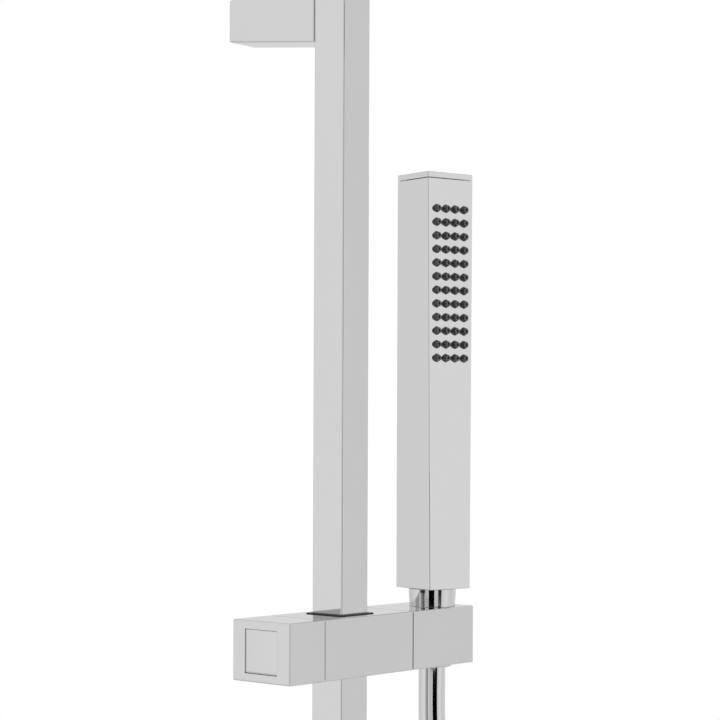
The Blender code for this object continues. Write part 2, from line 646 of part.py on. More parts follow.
def make_mixer_body(mixer):
    """The square bar with its cartridge bores, riser bore, hose bore and two inlet ports."""
    half_x, half_y, half_z = MIXER_LENGTH / 2, MIXER_DEPTH / 2, MIXER_HEIGHT / 2
    body = box("mixer_body", (-half_x, -half_y, -half_z), (half_x, half_y, half_z), mixer, CHROME, EDGE)
    way_start = (-half_x + 0.02, 0, 0)
    cut(body, rod("mixer_way", 0.0080, way_start, MIXER_LENGTH - 0.04, "X", mixer, sides=PIN_ROUND))
    tail, tail_bore = 0.0080, 0.0083
    for side, sign in (("left", -1), ("right", 1)):
        bore = rod(f"mixer_bore_{side}", CARTRIDGE_BORE, (sign * 0.060, 0, 0), sign * 0.045, "X", mixer)
        port_start = (sign * UNION_X, 0, 0)
        port = rod(f"mixer_port_{side}", 0.0070, port_start, half_y + 0.01, "Y", mixer, sides=PIN_ROUND)
        cut(body, bore, port)
    riser_bore = rod("mixer_riser_bore", tail_bore, (0, 0, 0), half_z + 0.01, "Z", mixer)
    hose_bore = rod("mixer_hose_bore", tail_bore, (OUTLET_X, 0, 0), -half_z - 0.01, "Z", mixer)
    cut(body, riser_bore, hose_bore)

    top = half_z + GAP
    sleeve("riser_tail", tail, 0.0050, (0, 0, half_z - 0.010), 0.035, "Z", mixer, BRASS)
    sleeve("riser_seal", 0.0100, tail_bore, (0, 0, top), 0.0020, "Z", mixer, RUBBER)
    collar = box("riser_collar", *around(0, 0, top, half_z + 0.030, 0.016), mixer, CHROME, EDGE)
    cut(collar, box("collar_bore", *around(0, 0, half_z - 0.01, half_z + 0.04, TUBE / 2 + GAP), mixer))


def make_wall_union(side, sign, mixer):
    """One water inlet: wall flange, union tail, hexagon nut and check valve."""
    x = sign * UNION_X
    wall_y = WALL_TO_COLUMN
    half = FLANGE_SIZE / 2
    flange_low, flange_high = (x - half, wall_y - FLANGE_DEPTH, -half), (x + half, wall_y, half)
    flange = box(f"wall_flange_{side}", flange_low, flange_high, mixer, CHROME, 0.0008)
    cut(flange, rod(f"flange_hole_{side}", UNION_HOLE, (x, wall_y - 0.02, 0), 0.04, "Y", mixer))
    body_back = MIXER_DEPTH / 2 + GAP
    tail, tail_bore = UNION_HOLE - GAP, 0.0070
    sleeve(f"union_tail_{side}", tail, tail_bore, (x, body_back, 0), wall_y - body_back, "Y", mixer, BRASS)
    nut = rod(f"union_nut_{side}", 0.0170, (x, body_back, 0), 0.016, "Y", mixer, CHROME, sides=6)
    cut(nut, rod(f"nut_bore_{side}", UNION_HOLE, (x, body_back - 0.01, 0), 0.04, "Y", mixer))
    valve_start = (x, body_back + 0.006, 0)
    sleeve(
        f"check_valve_{side}", tail_bore - GAP, 0.0030, valve_start, 0.014, "Y", mixer, WHITE_PLASTIC,
        PIN_ROUND,
    )


def make_control(name, sign, mixer):
    """One cartridge in the mixer's end, and the square handle that turns its spindle."""
    outer_x = MIXER_LENGTH / 2
    cartridge_start, cartridge_length = 0.0605, 0.0385
    sleeve(
        f"{name}_cartridge", CARTRIDGE_BORE - 0.0004, SPINDLE_BORE,
        (sign * cartridge_start, 0, 0), sign * cartridge_length, "X", mixer, WHITE_PLASTIC,
    )

    control_axis = axis_empty(f"{name}_axis", (0, 0, 0), mixer)
    half_y, half_z = MIXER_DEPTH / 2, MIXER_HEIGHT / 2
    near, far = outer_x + SEAM, outer_x + SEAM + HANDLE_LENGTH
    low_x, high_x = sorted((sign * near, sign * far))
    low, high = (low_x, -half_y, -half_z), (high_x, half_y, half_z)
    handle = box(f"{name}_handle", low, high, control_axis, CHROME, EDGE)
    hollow_start, hollow_length = outer_x - 0.005, 0.018
    hollow = rod(
        f"{name}_hollow", CARTRIDGE_BORE, (sign * hollow_start, 0, 0), sign * hollow_length, "X", control_axis
    )
    socket_depth = 0.030
    socket = rod(
        f"{name}_socket", SPINDLE_BORE, (sign * outer_x, 0, 0), sign * socket_depth, "X", control_axis,
        sides=SMALL_ROUND,
    )
    cut(handle, hollow, socket)
    spindle_start, spindle_length = 0.0800, 0.0495
    rod(
        f"{name}_spindle", SPINDLE_RADIUS, (sign * spindle_start, 0, 0), sign * spindle_length,
        "X", control_axis, BRASS, sides=SMALL_ROUND,
    )
    return control_axis, handle


def make_safety_button(control_axis, handle):
    """The push button on top of the temperature handle that frees it past the safe setting."""
    top = MIXER_HEIGHT / 2
    middle_x = -0.1066
    half_x, half_y = 0.0045, 0.0035
    foot, proud = -0.0065, 0.0018
    button_axis = axis_empty("button_axis", (middle_x, 0, top), control_axis)
    slot_low, slot_high = (-half_x - GAP, -half_y - GAP, -0.010), (half_x + GAP, half_y + GAP, 0.005)
    cut(handle, box("button_slot", slot_low, slot_high, button_axis))
    box("safety_button", (-half_x, -half_y, foot), (half_x, half_y, proud), button_axis, CHROME, EDGE)


def make_hose_outlet(mixer):
    """The threaded outlet under the mixer, and the nut and ferrule that end the hose there."""
    foot = -MIXER_HEIGHT / 2
    tail, bore = 0.0080, 0.0050
    tail_top, thread_foot = foot + 0.008, foot - 0.0120
    outlet = [
        (tail, tail_top), (tail, foot - GAP), (THREAD_RADIUS, foot - GAP),
        (THREAD_RADIUS, thread_foot), (bore, thread_foot), (bore, tail_top),
    ]
    turned("hose_outlet", outlet, (OUTLET_X, 0, 0), "Z", mixer, BRASS)
    ferrule_top = thread_foot - GAP
    nut_floor = ferrule_top - FERRULE_FLANGE - GAP
    nut_top, nut_foot, play = foot - 0.0015, nut_floor - 0.003, 0.0004
    nut_start = (OUTLET_X, 0, nut_top)
    nut = rod("outlet_nut", 0.0145, nut_start, nut_foot - nut_top, "Z", mixer, CHROME, sides=6)
    cavity = rod("outlet_nut_thread", THREAD_RADIUS + play, (OUTLET_X, 0, nut_floor), 0.03, "Z", mixer)
    passage = rod("outlet_nut_passage", HOSE_RADIUS + play, (OUTLET_X, 0, nut_floor - 0.01), 0.02, "Z", mixer)
    cut(nut, cavity, passage)
    return make_ferrule("outlet_ferrule", ferrule_top, (OUTLET_X, 0, 0), mixer)


def make_mixer(mixer):
    make_mixer_body(mixer)
    for side, sign in (("left", -1), ("right", 1)):
        make_wall_union(side, sign, mixer)
    temperature_axis, temperature_handle = make_control("temperature", -1, mixer)
    make_safety_button(temperature_axis, temperature_handle)
    make_control("flow", 1, mixer)
    return make_hose_outlet(mixer)


def hose_route(start, end):
    """The route's own points: down from the holder, forward past the mixer, round and up to it."""
    return [
        start,
        (0.0677, -0.0755, -0.372),
        (0.0685, -0.0825, -0.430),
        (0.0700, -0.0940, -0.490),
        (0.0720, -0.1040, -0.555),
        (0.0745, -0.1115, -0.640),
        (0.0770, -0.1160, -0.760),
        (0.0790, -0.1180, -0.900),
        (0.0800, -0.1185, -1.050),
        (0.0800, -0.1180, -1.180),
        (0.0785, -0.1150, -1.290),
        (0.0750, -0.1110, -1.362),
        (0.0545, -0.1035, -1.4175),
        (0.0045, -0.0910, -1.4395),
        (-0.0450, -0.0790, -1.4175),
        (-0.0650, -0.0735, -1.366),
        (-0.0660, -0.0710, -1.300),
        (-0.0590, -0.0700, -1.215),
        (-0.0500, -0.0700, -1.155),
        end,
    ]


def smooth_curve(points, count):
    """Evenly spaced points on the centripetal Catmull-Rom curve through the given points."""
    points = [Vector(point) for point in points]
    padded = [2 * points[0] - points[1], *points, 2 * points[-1] - points[-2]]
    fine = []
    for before, start, end, after in zip(padded, padded[1:], padded[2:], padded[3:]):
        t1 = (start - before).length ** 0.5
        t2 = t1 + (end - start).length ** 0.5
        t3 = t2 + (after - end).length ** 0.5
        for step in range(24):
            t = t1 + (t2 - t1) * step / 24
            a1 = before.lerp(start, t / t1)
            a2 = start.lerp(end, (t - t1) / (t2 - t1))
            a3 = end.lerp(after, (t - t2) / (t3 - t2))
            b1 = a1.lerp(a2, t / t2)
            b2 = a2.lerp(a3, (t - t1) / (t3 - t1))
            fine.append(b1.lerp(b2, (t - t1) / (t2 - t1)))
    fine.append(points[-1])
    run = [0.0]
    for start, end in zip(fine, fine[1:]):
        run.append(run[-1] + (end - start).length)
    even, index = [], 0
    for step in range(count):
        target = run[-1] * step / (count - 1)
        while index < len(fine) - 2 and run[index + 1] < target:
            index += 1
        share = (target - run[index]) / (run[index + 1] - run[index])
        even.append(fine[index].lerp(fine[index + 1], min(share, 1.0)))
    return even, run[-1]


def make_hose(start, end):
    points, length = smooth_curve(hose_route(start, end), HOSE_POINTS)
    assert abs(length - HOSE_LENGTH) < 0.01, f"hose route is {length:.4f} m long"
    curve = bpy.data.curves.new("shower_hose", "CURVE")
    curve.dimensions = "3D"
    curve.bevel_depth = HOSE_RADIUS
    curve.bevel_resolution = 2
    curve.use_fill_caps = True
    spline = curve.splines.new("POLY")
    spline.points.add(len(points) - 1)
    for point, place_at in zip(spline.points, points):
        point.co = (*place_at, 1.0)
    curve.materials.append(finish_material("shower_hose", CHROME))
    PARTS.objects.link(bpy.data.objects.new("shower_hose", curve))


def main():
    column_axis = axis_empty("column_axis", (0, -WALL_TO_COLUMN, 0))
    make_riser(column_axis)
    make_bracket(column_axis)
    make_arm(column_axis)
    make_swivel(column_axis)
    make_rain_head()

    slider_axis = axis_empty("slider_axis", (0, -WALL_TO_COLUMN, SLIDER_Z))
    make_slider(slider_axis)
    make_lock_knob(slider_axis)
    make_handset(make_holder(slider_axis))

    mixer = axis_empty("mixer_axis", (0, -WALL_TO_COLUMN, MIXER_Z))
    outlet_tail = make_mixer(mixer)
    hose_top = CONE_FLOOR + FERRULE_FLANGE - FERRULE_LENGTH
    start = (SOCKET_X, SOCKET_Y - WALL_TO_COLUMN, SLIDER_Z + hose_top)
    end = (OUTLET_X, -WALL_TO_COLUMN, MIXER_Z + outlet_tail - GAP)
    make_hose(start, end)


main()
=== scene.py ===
"""Looks of the rainfall shower column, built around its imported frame.

Each assembly has its own operator, and a panel in the 3D view's sidebar lists them. Metres, in the
frame's own axes: X runs to the right along the wall, Y into the wall and Z up.
"""

import json
import math

import bmesh
import bpy
from bpy.props import FloatProperty, FloatVectorProperty, IntProperty, PointerProperty
from mathutils import Matrix, Vector

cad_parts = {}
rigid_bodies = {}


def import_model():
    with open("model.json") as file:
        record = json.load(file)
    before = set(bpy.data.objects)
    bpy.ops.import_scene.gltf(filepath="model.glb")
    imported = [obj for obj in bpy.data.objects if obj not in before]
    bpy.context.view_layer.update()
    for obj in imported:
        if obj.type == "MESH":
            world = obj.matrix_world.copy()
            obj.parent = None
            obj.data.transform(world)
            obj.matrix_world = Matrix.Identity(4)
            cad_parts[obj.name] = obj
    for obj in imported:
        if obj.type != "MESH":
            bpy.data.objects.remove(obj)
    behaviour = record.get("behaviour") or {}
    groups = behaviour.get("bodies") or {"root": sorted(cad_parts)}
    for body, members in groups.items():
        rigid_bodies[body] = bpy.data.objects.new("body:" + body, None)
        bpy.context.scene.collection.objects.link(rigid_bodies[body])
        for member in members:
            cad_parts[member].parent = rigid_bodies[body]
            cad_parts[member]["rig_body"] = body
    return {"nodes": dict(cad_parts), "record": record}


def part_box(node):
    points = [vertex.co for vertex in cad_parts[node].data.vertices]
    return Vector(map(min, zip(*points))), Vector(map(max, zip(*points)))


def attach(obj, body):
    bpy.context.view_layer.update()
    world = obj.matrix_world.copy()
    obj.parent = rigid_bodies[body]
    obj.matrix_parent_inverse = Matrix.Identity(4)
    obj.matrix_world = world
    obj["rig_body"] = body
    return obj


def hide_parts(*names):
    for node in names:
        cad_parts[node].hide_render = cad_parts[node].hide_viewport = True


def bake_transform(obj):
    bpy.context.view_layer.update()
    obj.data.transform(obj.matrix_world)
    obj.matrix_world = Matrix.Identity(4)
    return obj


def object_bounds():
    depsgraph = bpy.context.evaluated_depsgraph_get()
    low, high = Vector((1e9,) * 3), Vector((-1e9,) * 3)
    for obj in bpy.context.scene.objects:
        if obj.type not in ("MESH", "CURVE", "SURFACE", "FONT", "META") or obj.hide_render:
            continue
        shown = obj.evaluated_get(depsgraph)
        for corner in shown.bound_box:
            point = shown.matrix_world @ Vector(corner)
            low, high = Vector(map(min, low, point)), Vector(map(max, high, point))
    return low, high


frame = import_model()
CAD_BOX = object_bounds()

bl_info = {
    "name": "Rainfall shower column",
    "version": (1, 0, 0),
    "blender": (4, 5, 0),
    "location": "3D View > Sidebar > Shower",
    "description": "Builds the polished pieces of a rainfall shower column around its frame",
    "category": "Add Mesh",
}

BODY_OF = {node: part["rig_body"] for node, part in frame["nodes"].items()}
SLOT_OF = {part["node"]: part["material_slot"] for part in frame["record"]["subparts"]}
TINY = 0.0005
GAP = 0.0003
SEAM_FILL = 0.0003


def middle(node):
    low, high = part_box(node)
    return (low + high) / 2


COLUMN_AXIS = middle("riser_column").xy
HANDSET_AXIS = middle("hose_cone").xy
BALL = middle("swivel_ball")


# ---------------------------------------------------------------- settings


class FinishSettings(bpy.types.PropertyGroup):
    chrome: FloatVectorProperty(
        name="Chrome", description="Tint of the polished chrome", default=(0.60, 0.60, 0.605), subtype="COLOR"
    )
    chrome_roughness: FloatProperty(
        name="Chrome roughness", description="Roughness of clean chrome", default=0.035, min=0, max=1,
        subtype="FACTOR",
    )
    smudge: FloatProperty(
        name="Smudges", description="Extra roughness where the chrome is wiped dull", default=0.05,
        min=0, max=1, subtype="FACTOR",
    )
    hose: FloatVectorProperty(
        name="Hose", description="Tint of the silver hose", default=(0.60, 0.60, 0.61), subtype="COLOR"
    )
    rubber: FloatVectorProperty(
        name="Rubber", description="Colour of the soft nozzles and seals", default=(0.022, 0.022, 0.024),
        subtype="COLOR",
    )
    black_plastic: FloatVectorProperty(
        name="Black plastic", description="Colour of the slider's liner", default=(0.012, 0.012, 0.013),
        subtype="COLOR",
    )
    white_plastic: FloatVectorProperty(
        name="White plastic", description="Colour of the waterway parts", default=(0.70, 0.70, 0.67),
        subtype="COLOR",
    )
    brass: FloatVectorProperty(
        name="Brass", description="Colour of the machined brass", default=(0.62, 0.47, 0.20), subtype="COLOR"
    )
    steel: FloatVectorProperty(
        name="Steel", description="Colour of the stainless screws and bolts", default=(0.50, 0.50, 0.49),
        subtype="COLOR",
    )


class EdgeSettings(bpy.types.PropertyGroup):
    tube: FloatProperty(
        name="Tube corners", description="Corner radius of the drawn square tubes", default=0.001,
        unit="LENGTH",
    )
    block: FloatProperty(
        name="Block edges", description="Edge radius of the slider's blocks", default=0.0008, unit="LENGTH"
    )
    fine: FloatProperty(
        name="Fine edges", description="Edge radius of the handset's cap and cone", default=0.0004,
        unit="LENGTH",
    )
    plate: FloatProperty(
        name="Plate edges", description="Edge radius of the wall flanges and rain head", default=0.0009,
        unit="LENGTH",
    )
    plate_slope: FloatProperty(
        name="End plate slope", description="Width of the slope around the plate in the lock knob",
        default=0.0013, unit="LENGTH",
    )
    plate_drop: FloatProperty(
        name="End plate drop", description="How far the slope falls away", default=0.0006, unit="LENGTH"
    )
    steps: IntProperty(
        name="Edge steps", description="Facets across a rounded edge", default=4, min=1, max=12
    )


class ColumnSettings(bpy.types.PropertyGroup):
    wall: FloatProperty(
        name="Tube wall", description="Wall thickness of the square tubes", default=0.0015, unit="LENGTH"
    )
    bracket_wall: FloatProperty(
        name="Bracket wall", description="Wall thickness of the bracket", default=0.002, unit="LENGTH"
    )


class HandsetSettings(bpy.types.PropertyGroup):
    turn: FloatProperty(
        name="Turn", description="Turn of the handset in its socket", default=math.radians(-13),
        subtype="ANGLE",
    )
    columns: IntProperty(name="Nozzle columns", description="Nozzles across the front", default=4, min=1)
    rows: IntProperty(name="Nozzle rows", description="Nozzles up the front", default=12, min=1)
    pitch_across: FloatProperty(
        name="Pitch across", description="Distance between nozzle columns", default=0.0060, unit="LENGTH"
    )
    pitch_up: FloatProperty(
        name="Pitch up", description="Distance between nozzle rows", default=0.00705, unit="LENGTH"
    )
    top_row: FloatProperty(
        name="Top row", description="Distance from the cap's top to the top row", default=0.0189,
        unit="LENGTH",
    )
    nozzle_radius: FloatProperty(
        name="Nozzle radius", description="Radius of a nozzle at its foot", default=0.0021, unit="LENGTH"
    )
    nozzle_proud: FloatProperty(
        name="Nozzle height", description="How far a nozzle stands out", default=0.0021, unit="LENGTH"
    )
    wall: FloatProperty(name="Wall", description="Wall thickness of the shell", default=0.002, unit="LENGTH")
    seam: FloatProperty(name="Seam", description="Seam between shell and cap", default=0.0002, unit="LENGTH")


class HoseSettings(bpy.types.PropertyGroup):
    length: FloatProperty(name="Length", description="Length of the whole hose", default=1.5, unit="LENGTH")
    diameter: FloatProperty(name="Diameter", description="Outer diameter", default=0.014, unit="LENGTH")
    rings: IntProperty(name="Rings", description="Rings along the whole hose", default=301, min=40)
    sides: IntProperty(name="Sides", description="Facets around the hose", default=32, min=8)


class RainHeadSettings(bpy.types.PropertyGroup):
    nozzles: IntProperty(name="Nozzles a side", description="Nozzles along each side", default=12, min=2)
    border: FloatProperty(
        name="Border", description="Plain border around the nozzles", default=0.017, unit="LENGTH"
    )
    nozzle_radius: FloatProperty(
        name="Nozzle radius", description="Radius of a nozzle at its foot", default=0.0022, unit="LENGTH"
    )
    nozzle_proud: FloatProperty(
        name="Nozzle height", description="How far a nozzle stands out", default=0.0018, unit="LENGTH"
    )
    wall: FloatProperty(name="Wall", description="Wall thickness of the shell", default=0.002, unit="LENGTH")
    hub_half: FloatProperty(
        name="Hub", description="Half the width of the hub on the shell", default=0.018, unit="LENGTH"
    )
    hub_height: FloatProperty(
        name="Hub height", description="Height of the hub above the shell", default=0.006, unit="LENGTH"
    )
    neck_radius: FloatProperty(
        name="Neck radius", description="Radius of the neck above the hub", default=0.0065, unit="LENGTH"
    )
    ball_play: FloatProperty(
        name="Ball play", description="Room between the ball and its seat", default=0.0004, unit="LENGTH"
    )
    nut_thread: FloatProperty(
        name="Nut thread", description="Radius of the nut's threaded bore", default=0.0099, unit="LENGTH"
    )
    nut_chamber: FloatProperty(
        name="Nut chamber", description="Top of the ball's chamber, above the ball's centre",
        default=0.0125, unit="LENGTH",
    )
    nut_taper: FloatProperty(
        name="Nut taper", description="Where the nut starts to taper, from the ball's centre",
        default=-0.004, unit="LENGTH",
    )
    waterway: FloatProperty(
        name="Waterway", description="Radius of the way through ball and neck", default=0.004, unit="LENGTH"
    )


class MixerSettings(bpy.types.PropertyGroup):
    cartridge_bore: FloatProperty(
        name="Cartridge bore", description="Radius of the bore for a cartridge", default=0.014, unit="LENGTH"
    )
    tail_bore: FloatProperty(
        name="Tail bore", description="Radius of the bores for the riser and the hose", default=0.0083,
        unit="LENGTH",
    )
    inlet_port: FloatProperty(
        name="Inlet port", description="Radius of the two inlet ports", default=0.007, unit="LENGTH"
    )
    spindle_bore: FloatProperty(
        name="Spindle bore", description="Radius of the socket in a handle", default=0.0043, unit="LENGTH"
    )
    union_hole: FloatProperty(
        name="Union hole", description="Radius of the hole in a flange and its nut", default=0.0103,
        unit="LENGTH",
    )
    nut_chamfer: FloatProperty(
        name="Nut chamfer", description="Height turned off the corners of a nut", default=0.0012,
        unit="LENGTH",
    )


class StageSettings(bpy.types.PropertyGroup):
    eye: FloatVectorProperty(
        name="Camera place", description="Where the camera stands", default=(-0.7832, -0.7614, -0.2107),
        subtype="TRANSLATION",
    )
    heading: FloatProperty(
        name="Heading", description="Camera heading from the wall's normal to the right",
        default=math.radians(48.66), subtype="ANGLE",
    )
    roll: FloatProperty(
        name="Roll", description="Camera roll", default=math.radians(0.23), subtype="ANGLE"
    )
    lens: FloatProperty(name="Lens", description="Focal length in millimetres", default=103.9)
    shift_x: FloatProperty(name="Shift X", description="Sideways shift of the lens", default=0.0219)
    shift_y: FloatProperty(name="Shift Y", description="Upward shift of the lens", default=0.0916)
    floor_radius: FloatProperty(
        name="Floor radius", description="Radius of the pale floor", default=6.0, unit="LENGTH"
    )
    floor_gap: FloatProperty(
        name="Floor gap", description="Distance from the lowest point to the floor", default=0.02,
        unit="LENGTH",
    )


# ---------------------------------------------------------------- meshes


def settle(piece, sharp=35):
    """Turns a piece and its modifiers into its final mesh, smooth except across sharp edges."""
    graph = bpy.context.evaluated_depsgraph_get()
    mesh = bpy.data.meshes.new_from_object(piece.evaluated_get(graph))
    piece.modifiers.clear()
    draft = piece.data
    piece.data = mesh
    bpy.data.meshes.remove(draft)
    mesh.name = piece.name
    mesh.shade_smooth()
    mesh.set_sharp_from_angle(angle=math.radians(sharp))
    return piece


def new_piece(name, form):
    """The bmesh form as an object in the scene."""
    mesh = bpy.data.meshes.new(name)
    form.to_mesh(mesh)
    form.free()
    piece = bpy.data.objects.new(name, mesh)
    bpy.context.scene.collection.objects.link(piece)
    return piece


def hexahedron(name, corner, edge=0.0, steps=4):
    """A closed form with six sides. corner(x, y, z) gives each corner's place from its signs."""
    form = bmesh.new()
    bmesh.ops.create_cube(form, size=2)
    for vertex in form.verts:
        vertex.co = corner(*(int(math.copysign(1, value)) for value in vertex.co))
    if edge:
        bmesh.ops.bevel(
            form, geom=form.edges[:], offset=edge, offset_type="OFFSET", segments=steps, profile=0.5,
            affect="EDGES",
        )
    return new_piece(name, form)


def bar(name, low, high, edge=0.0, steps=4):
    """A box between two corners with rounded edges."""
    sides = {-1: low, 1: high}
    return hexahedron(name, lambda x, y, z: Vector((sides[x][0], sides[y][1], sides[z][2])), edge, steps)


def square_bar(name, centre, half, low, high, edge=0.0):
    """An upright square bar about a point of the plan."""
    x, y = centre
    return bar(name, (x - half, y - half, low), (x + half, y + half, high), edge)


TURN_TO = {
    "X": Matrix.Rotation(math.pi / 2, 4, "Y"),
    "Y": Matrix.Rotation(-math.pi / 2, 4, "X"),
    "Z": Matrix(),
}


def lathe(name, profile, centre, axis="Z", sides=64, fillet=0.0):
    """A profile of (radius, height) turned about an axis, with its corners rounded by fillet.

    It runs down the outer side. A hollow piece's profile goes on up its bore and is closed.
    """
    solid = profile[0][0] == 0
    form = bmesh.new()
    points = [form.verts.new((radius, 0, height)) for radius, height in profile]
    for upper, lower in zip(points, points[1:] + ([] if solid else points[:1])):
        form.edges.new((upper, lower))
    bmesh.ops.spin(
        form, geom=form.verts[:] + form.edges[:], cent=(0, 0, 0), axis=(0, 0, 1), angle=2 * math.pi,
        steps=sides, use_merge=True, use_normal_flip=False,
    )
    bmesh.ops.remove_doubles(form, verts=form.verts, dist=1e-6)
    bmesh.ops.recalc_face_normals(form, faces=form.faces)
    if fillet:
        rings = [edge for edge in form.edges if edge.calc_face_angle(0) > math.radians(25)]
        bmesh.ops.bevel(
            form, geom=rings, offset=fillet, offset_type="OFFSET", segments=3, profile=0.5, affect="EDGES"
        )
    form.transform(Matrix.Translation(centre) @ TURN_TO[axis])
    return new_piece(name, form)


def prism(name, radius, start, length, axis, sides=48):
    """A straight cylinder or prism from start along axis."""
    form = bmesh.new()
    bmesh.ops.create_cone(
        form, cap_ends=True, segments=sides, radius1=radius, radius2=radius, depth=abs(length)
    )
    centre = Vector(start)
    centre["XYZ".index(axis)] += length / 2
    form.transform(Matrix.Translation(centre) @ TURN_TO[axis])
    return new_piece(name, form)


def combine(piece, operation, *others):
    """Joins the others to the piece, or cuts them out of it, for good, and removes them."""
    for other in others:
        boolean = piece.modifiers.new(other.name, "BOOLEAN")
        boolean.operation = operation
        boolean.object = other
    settle(piece)
    for other in others:
        bpy.data.objects.remove(other)
    return piece


def carve(piece, *cutters):
    return combine(piece, "DIFFERENCE", *cutters)


def dress(piece, node):
    """Final shading and finish of a piece, which rides with the CAD node that it stands for."""
    settle(piece)
    flat_faces = piece.modifiers.new("flat_faces", "WEIGHTED_NORMAL")
    flat_faces.keep_sharp = True
    flat_faces.weight = 100
    piece.data.materials.clear()
    piece.data.materials.append(material_for(SLOT_OF[node]))
    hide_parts(node)
    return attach(piece, BODY_OF[node])


# ---------------------------------------------------------------- materials


def group_socket(tree, name, direction, kind, value=None):
    socket = tree.interface.new_socket(name=name, in_out=direction, socket_type=kind)
    if value is not None:
        socket.default_value = value
    return socket


def worn_surface_group():
    """Fine unevenness that every finish shares: a tint mask, a roughness and a relief height.

    Patches are wide and soft like wiped smudges, and Grain is the fine texture of the surface.
    """
    name = "worn_surface"
    if name in bpy.data.node_groups:
        return bpy.data.node_groups[name]
    tree = bpy.data.node_groups.new(name, "ShaderNodeTree")
    group_socket(tree, "Colour", "INPUT", "NodeSocketColor", (0.5, 0.5, 0.5, 1.0))
    group_socket(tree, "Shade", "INPUT", "NodeSocketFloat", 0.05)
    group_socket(tree, "Roughness", "INPUT", "NodeSocketFloat", 0.1)
    group_socket(tree, "Smudge", "INPUT", "NodeSocketFloat", 0.05)
    group_socket(tree, "Patch scale", "INPUT", "NodeSocketFloat", 20.0)
    group_socket(tree, "Grain scale", "INPUT", "NodeSocketFloat", 900.0)
    group_socket(tree, "Base Color", "OUTPUT", "NodeSocketColor")
    group_socket(tree, "Roughness", "OUTPUT", "NodeSocketFloat")
    group_socket(tree, "Height", "OUTPUT", "NodeSocketFloat")
    nodes, links = tree.nodes, tree.links
    given = nodes.new("NodeGroupInput")
    out = nodes.new("NodeGroupOutput")
    place = nodes.new("ShaderNodeTexCoord")

    patches = nodes.new("ShaderNodeTexNoise")
    patches.inputs["Detail"].default_value = 4.0
    patches.inputs["Roughness"].default_value = 0.6
    links.new(place.outputs["Object"], patches.inputs["Vector"])
    links.new(given.outputs["Patch scale"], patches.inputs["Scale"])

    grain = nodes.new("ShaderNodeTexNoise")
    grain.inputs["Detail"].default_value = 2.0
    links.new(place.outputs["Object"], grain.inputs["Vector"])
    links.new(given.outputs["Grain scale"], grain.inputs["Scale"])

    dull = nodes.new("ShaderNodeMapRange")
    dull.interpolation_type = "SMOOTHSTEP"
    dull.inputs["From Min"].default_value = 0.45
    dull.inputs["From Max"].default_value = 0.75
    links.new(patches.outputs["Fac"], dull.inputs["Value"])

    smudged = nodes.new("ShaderNodeMath")
    smudged.operation = "MULTIPLY_ADD"
    links.new(dull.outputs["Result"], smudged.inputs[0])
    links.new(given.outputs["Smudge"], smudged.inputs[1])
    links.new(given.outputs["Roughness"], smudged.inputs[2])
    links.new(smudged.outputs["Value"], out.inputs["Roughness"])

    depth = nodes.new("ShaderNodeMath")
    depth.operation = "MULTIPLY"
    links.new(patches.outputs["Fac"], depth.inputs[0])
    links.new(given.outputs["Shade"], depth.inputs[1])
    keep = nodes.new("ShaderNodeMath")
    keep.operation = "SUBTRACT"
    keep.inputs[0].default_value = 1.0
    links.new(depth.outputs["Value"], keep.inputs[1])
    tint = nodes.new("ShaderNodeVectorMath")
    tint.operation = "SCALE"
    links.new(given.outputs["Colour"], tint.inputs[0])
    links.new(keep.outputs["Value"], tint.inputs["Scale"])
    links.new(tint.outputs["Vector"], out.inputs["Base Color"])
    links.new(grain.outputs["Fac"], out.inputs["Height"])
    return tree


def finish_material(
    name, colour, metallic, roughness, smudge, shade, patch, grain, relief, coat=0.0, ior=1.5
):
    """A Principled material that takes its colour, roughness and relief from the shared group."""
    material = bpy.data.materials.new(name)
    material.use_nodes = True
    nodes, links = material.node_tree.nodes, material.node_tree.links
    shader = nodes["Principled BSDF"]
    shader.inputs["Metallic"].default_value = metallic
    shader.inputs["IOR"].default_value = ior
    shader.inputs["Coat Weight"].default_value = coat
    shader.inputs["Coat Roughness"].default_value = 0.04
    surface = nodes.new("ShaderNodeGroup")
    surface.node_tree = worn_surface_group()
    surface.inputs["Colour"].default_value = (*colour, 1.0)
    surface.inputs["Shade"].default_value = shade
    surface.inputs["Roughness"].default_value = roughness
    surface.inputs["Smudge"].default_value = smudge
    surface.inputs["Patch scale"].default_value = patch
    surface.inputs["Grain scale"].default_value = grain
    bump = nodes.new("ShaderNodeBump")
    bump.inputs["Strength"].default_value = relief
    bump.inputs["Distance"].default_value = 0.0001
    links.new(surface.outputs["Base Color"], shader.inputs["Base Color"])
    links.new(surface.outputs["Roughness"], shader.inputs["Roughness"])
    links.new(surface.outputs["Height"], bump.inputs["Height"])
    links.new(bump.outputs["Normal"], shader.inputs["Normal"])
    return material


def chrome_material(name, finish):
    return finish_material(
        name, finish.chrome, 1.0, finish.chrome_roughness, finish.smudge, 0.03, 14.0, 60.0, 0.02
    )


def hose_material(name, finish):
    return finish_material(name, finish.hose, 1.0, 0.05, 0.03, 0.03, 25.0, 260.0, 0.01)


def rubber_material(name, finish):
    return finish_material(
        name, finish.rubber, 0.0, 0.28, 0.12, 0.25, 220.0, 2600.0, 0.25, coat=0.6, ior=1.6
    )


def black_plastic_material(name, finish):
    return finish_material(name, finish.black_plastic, 0.0, 0.40, 0.10, 0.10, 90.0, 1800.0, 0.3)


def white_plastic_material(name, finish):
    return finish_material(name, finish.white_plastic, 0.0, 0.38, 0.08, 0.06, 60.0, 1200.0, 0.2)


def brass_material(name, finish):
    return finish_material(name, finish.brass, 1.0, 0.28, 0.12, 0.15, 45.0, 900.0, 0.3)


def steel_material(name, finish):
    return finish_material(name, finish.steel, 1.0, 0.24, 0.10, 0.10, 60.0, 1100.0, 0.3)


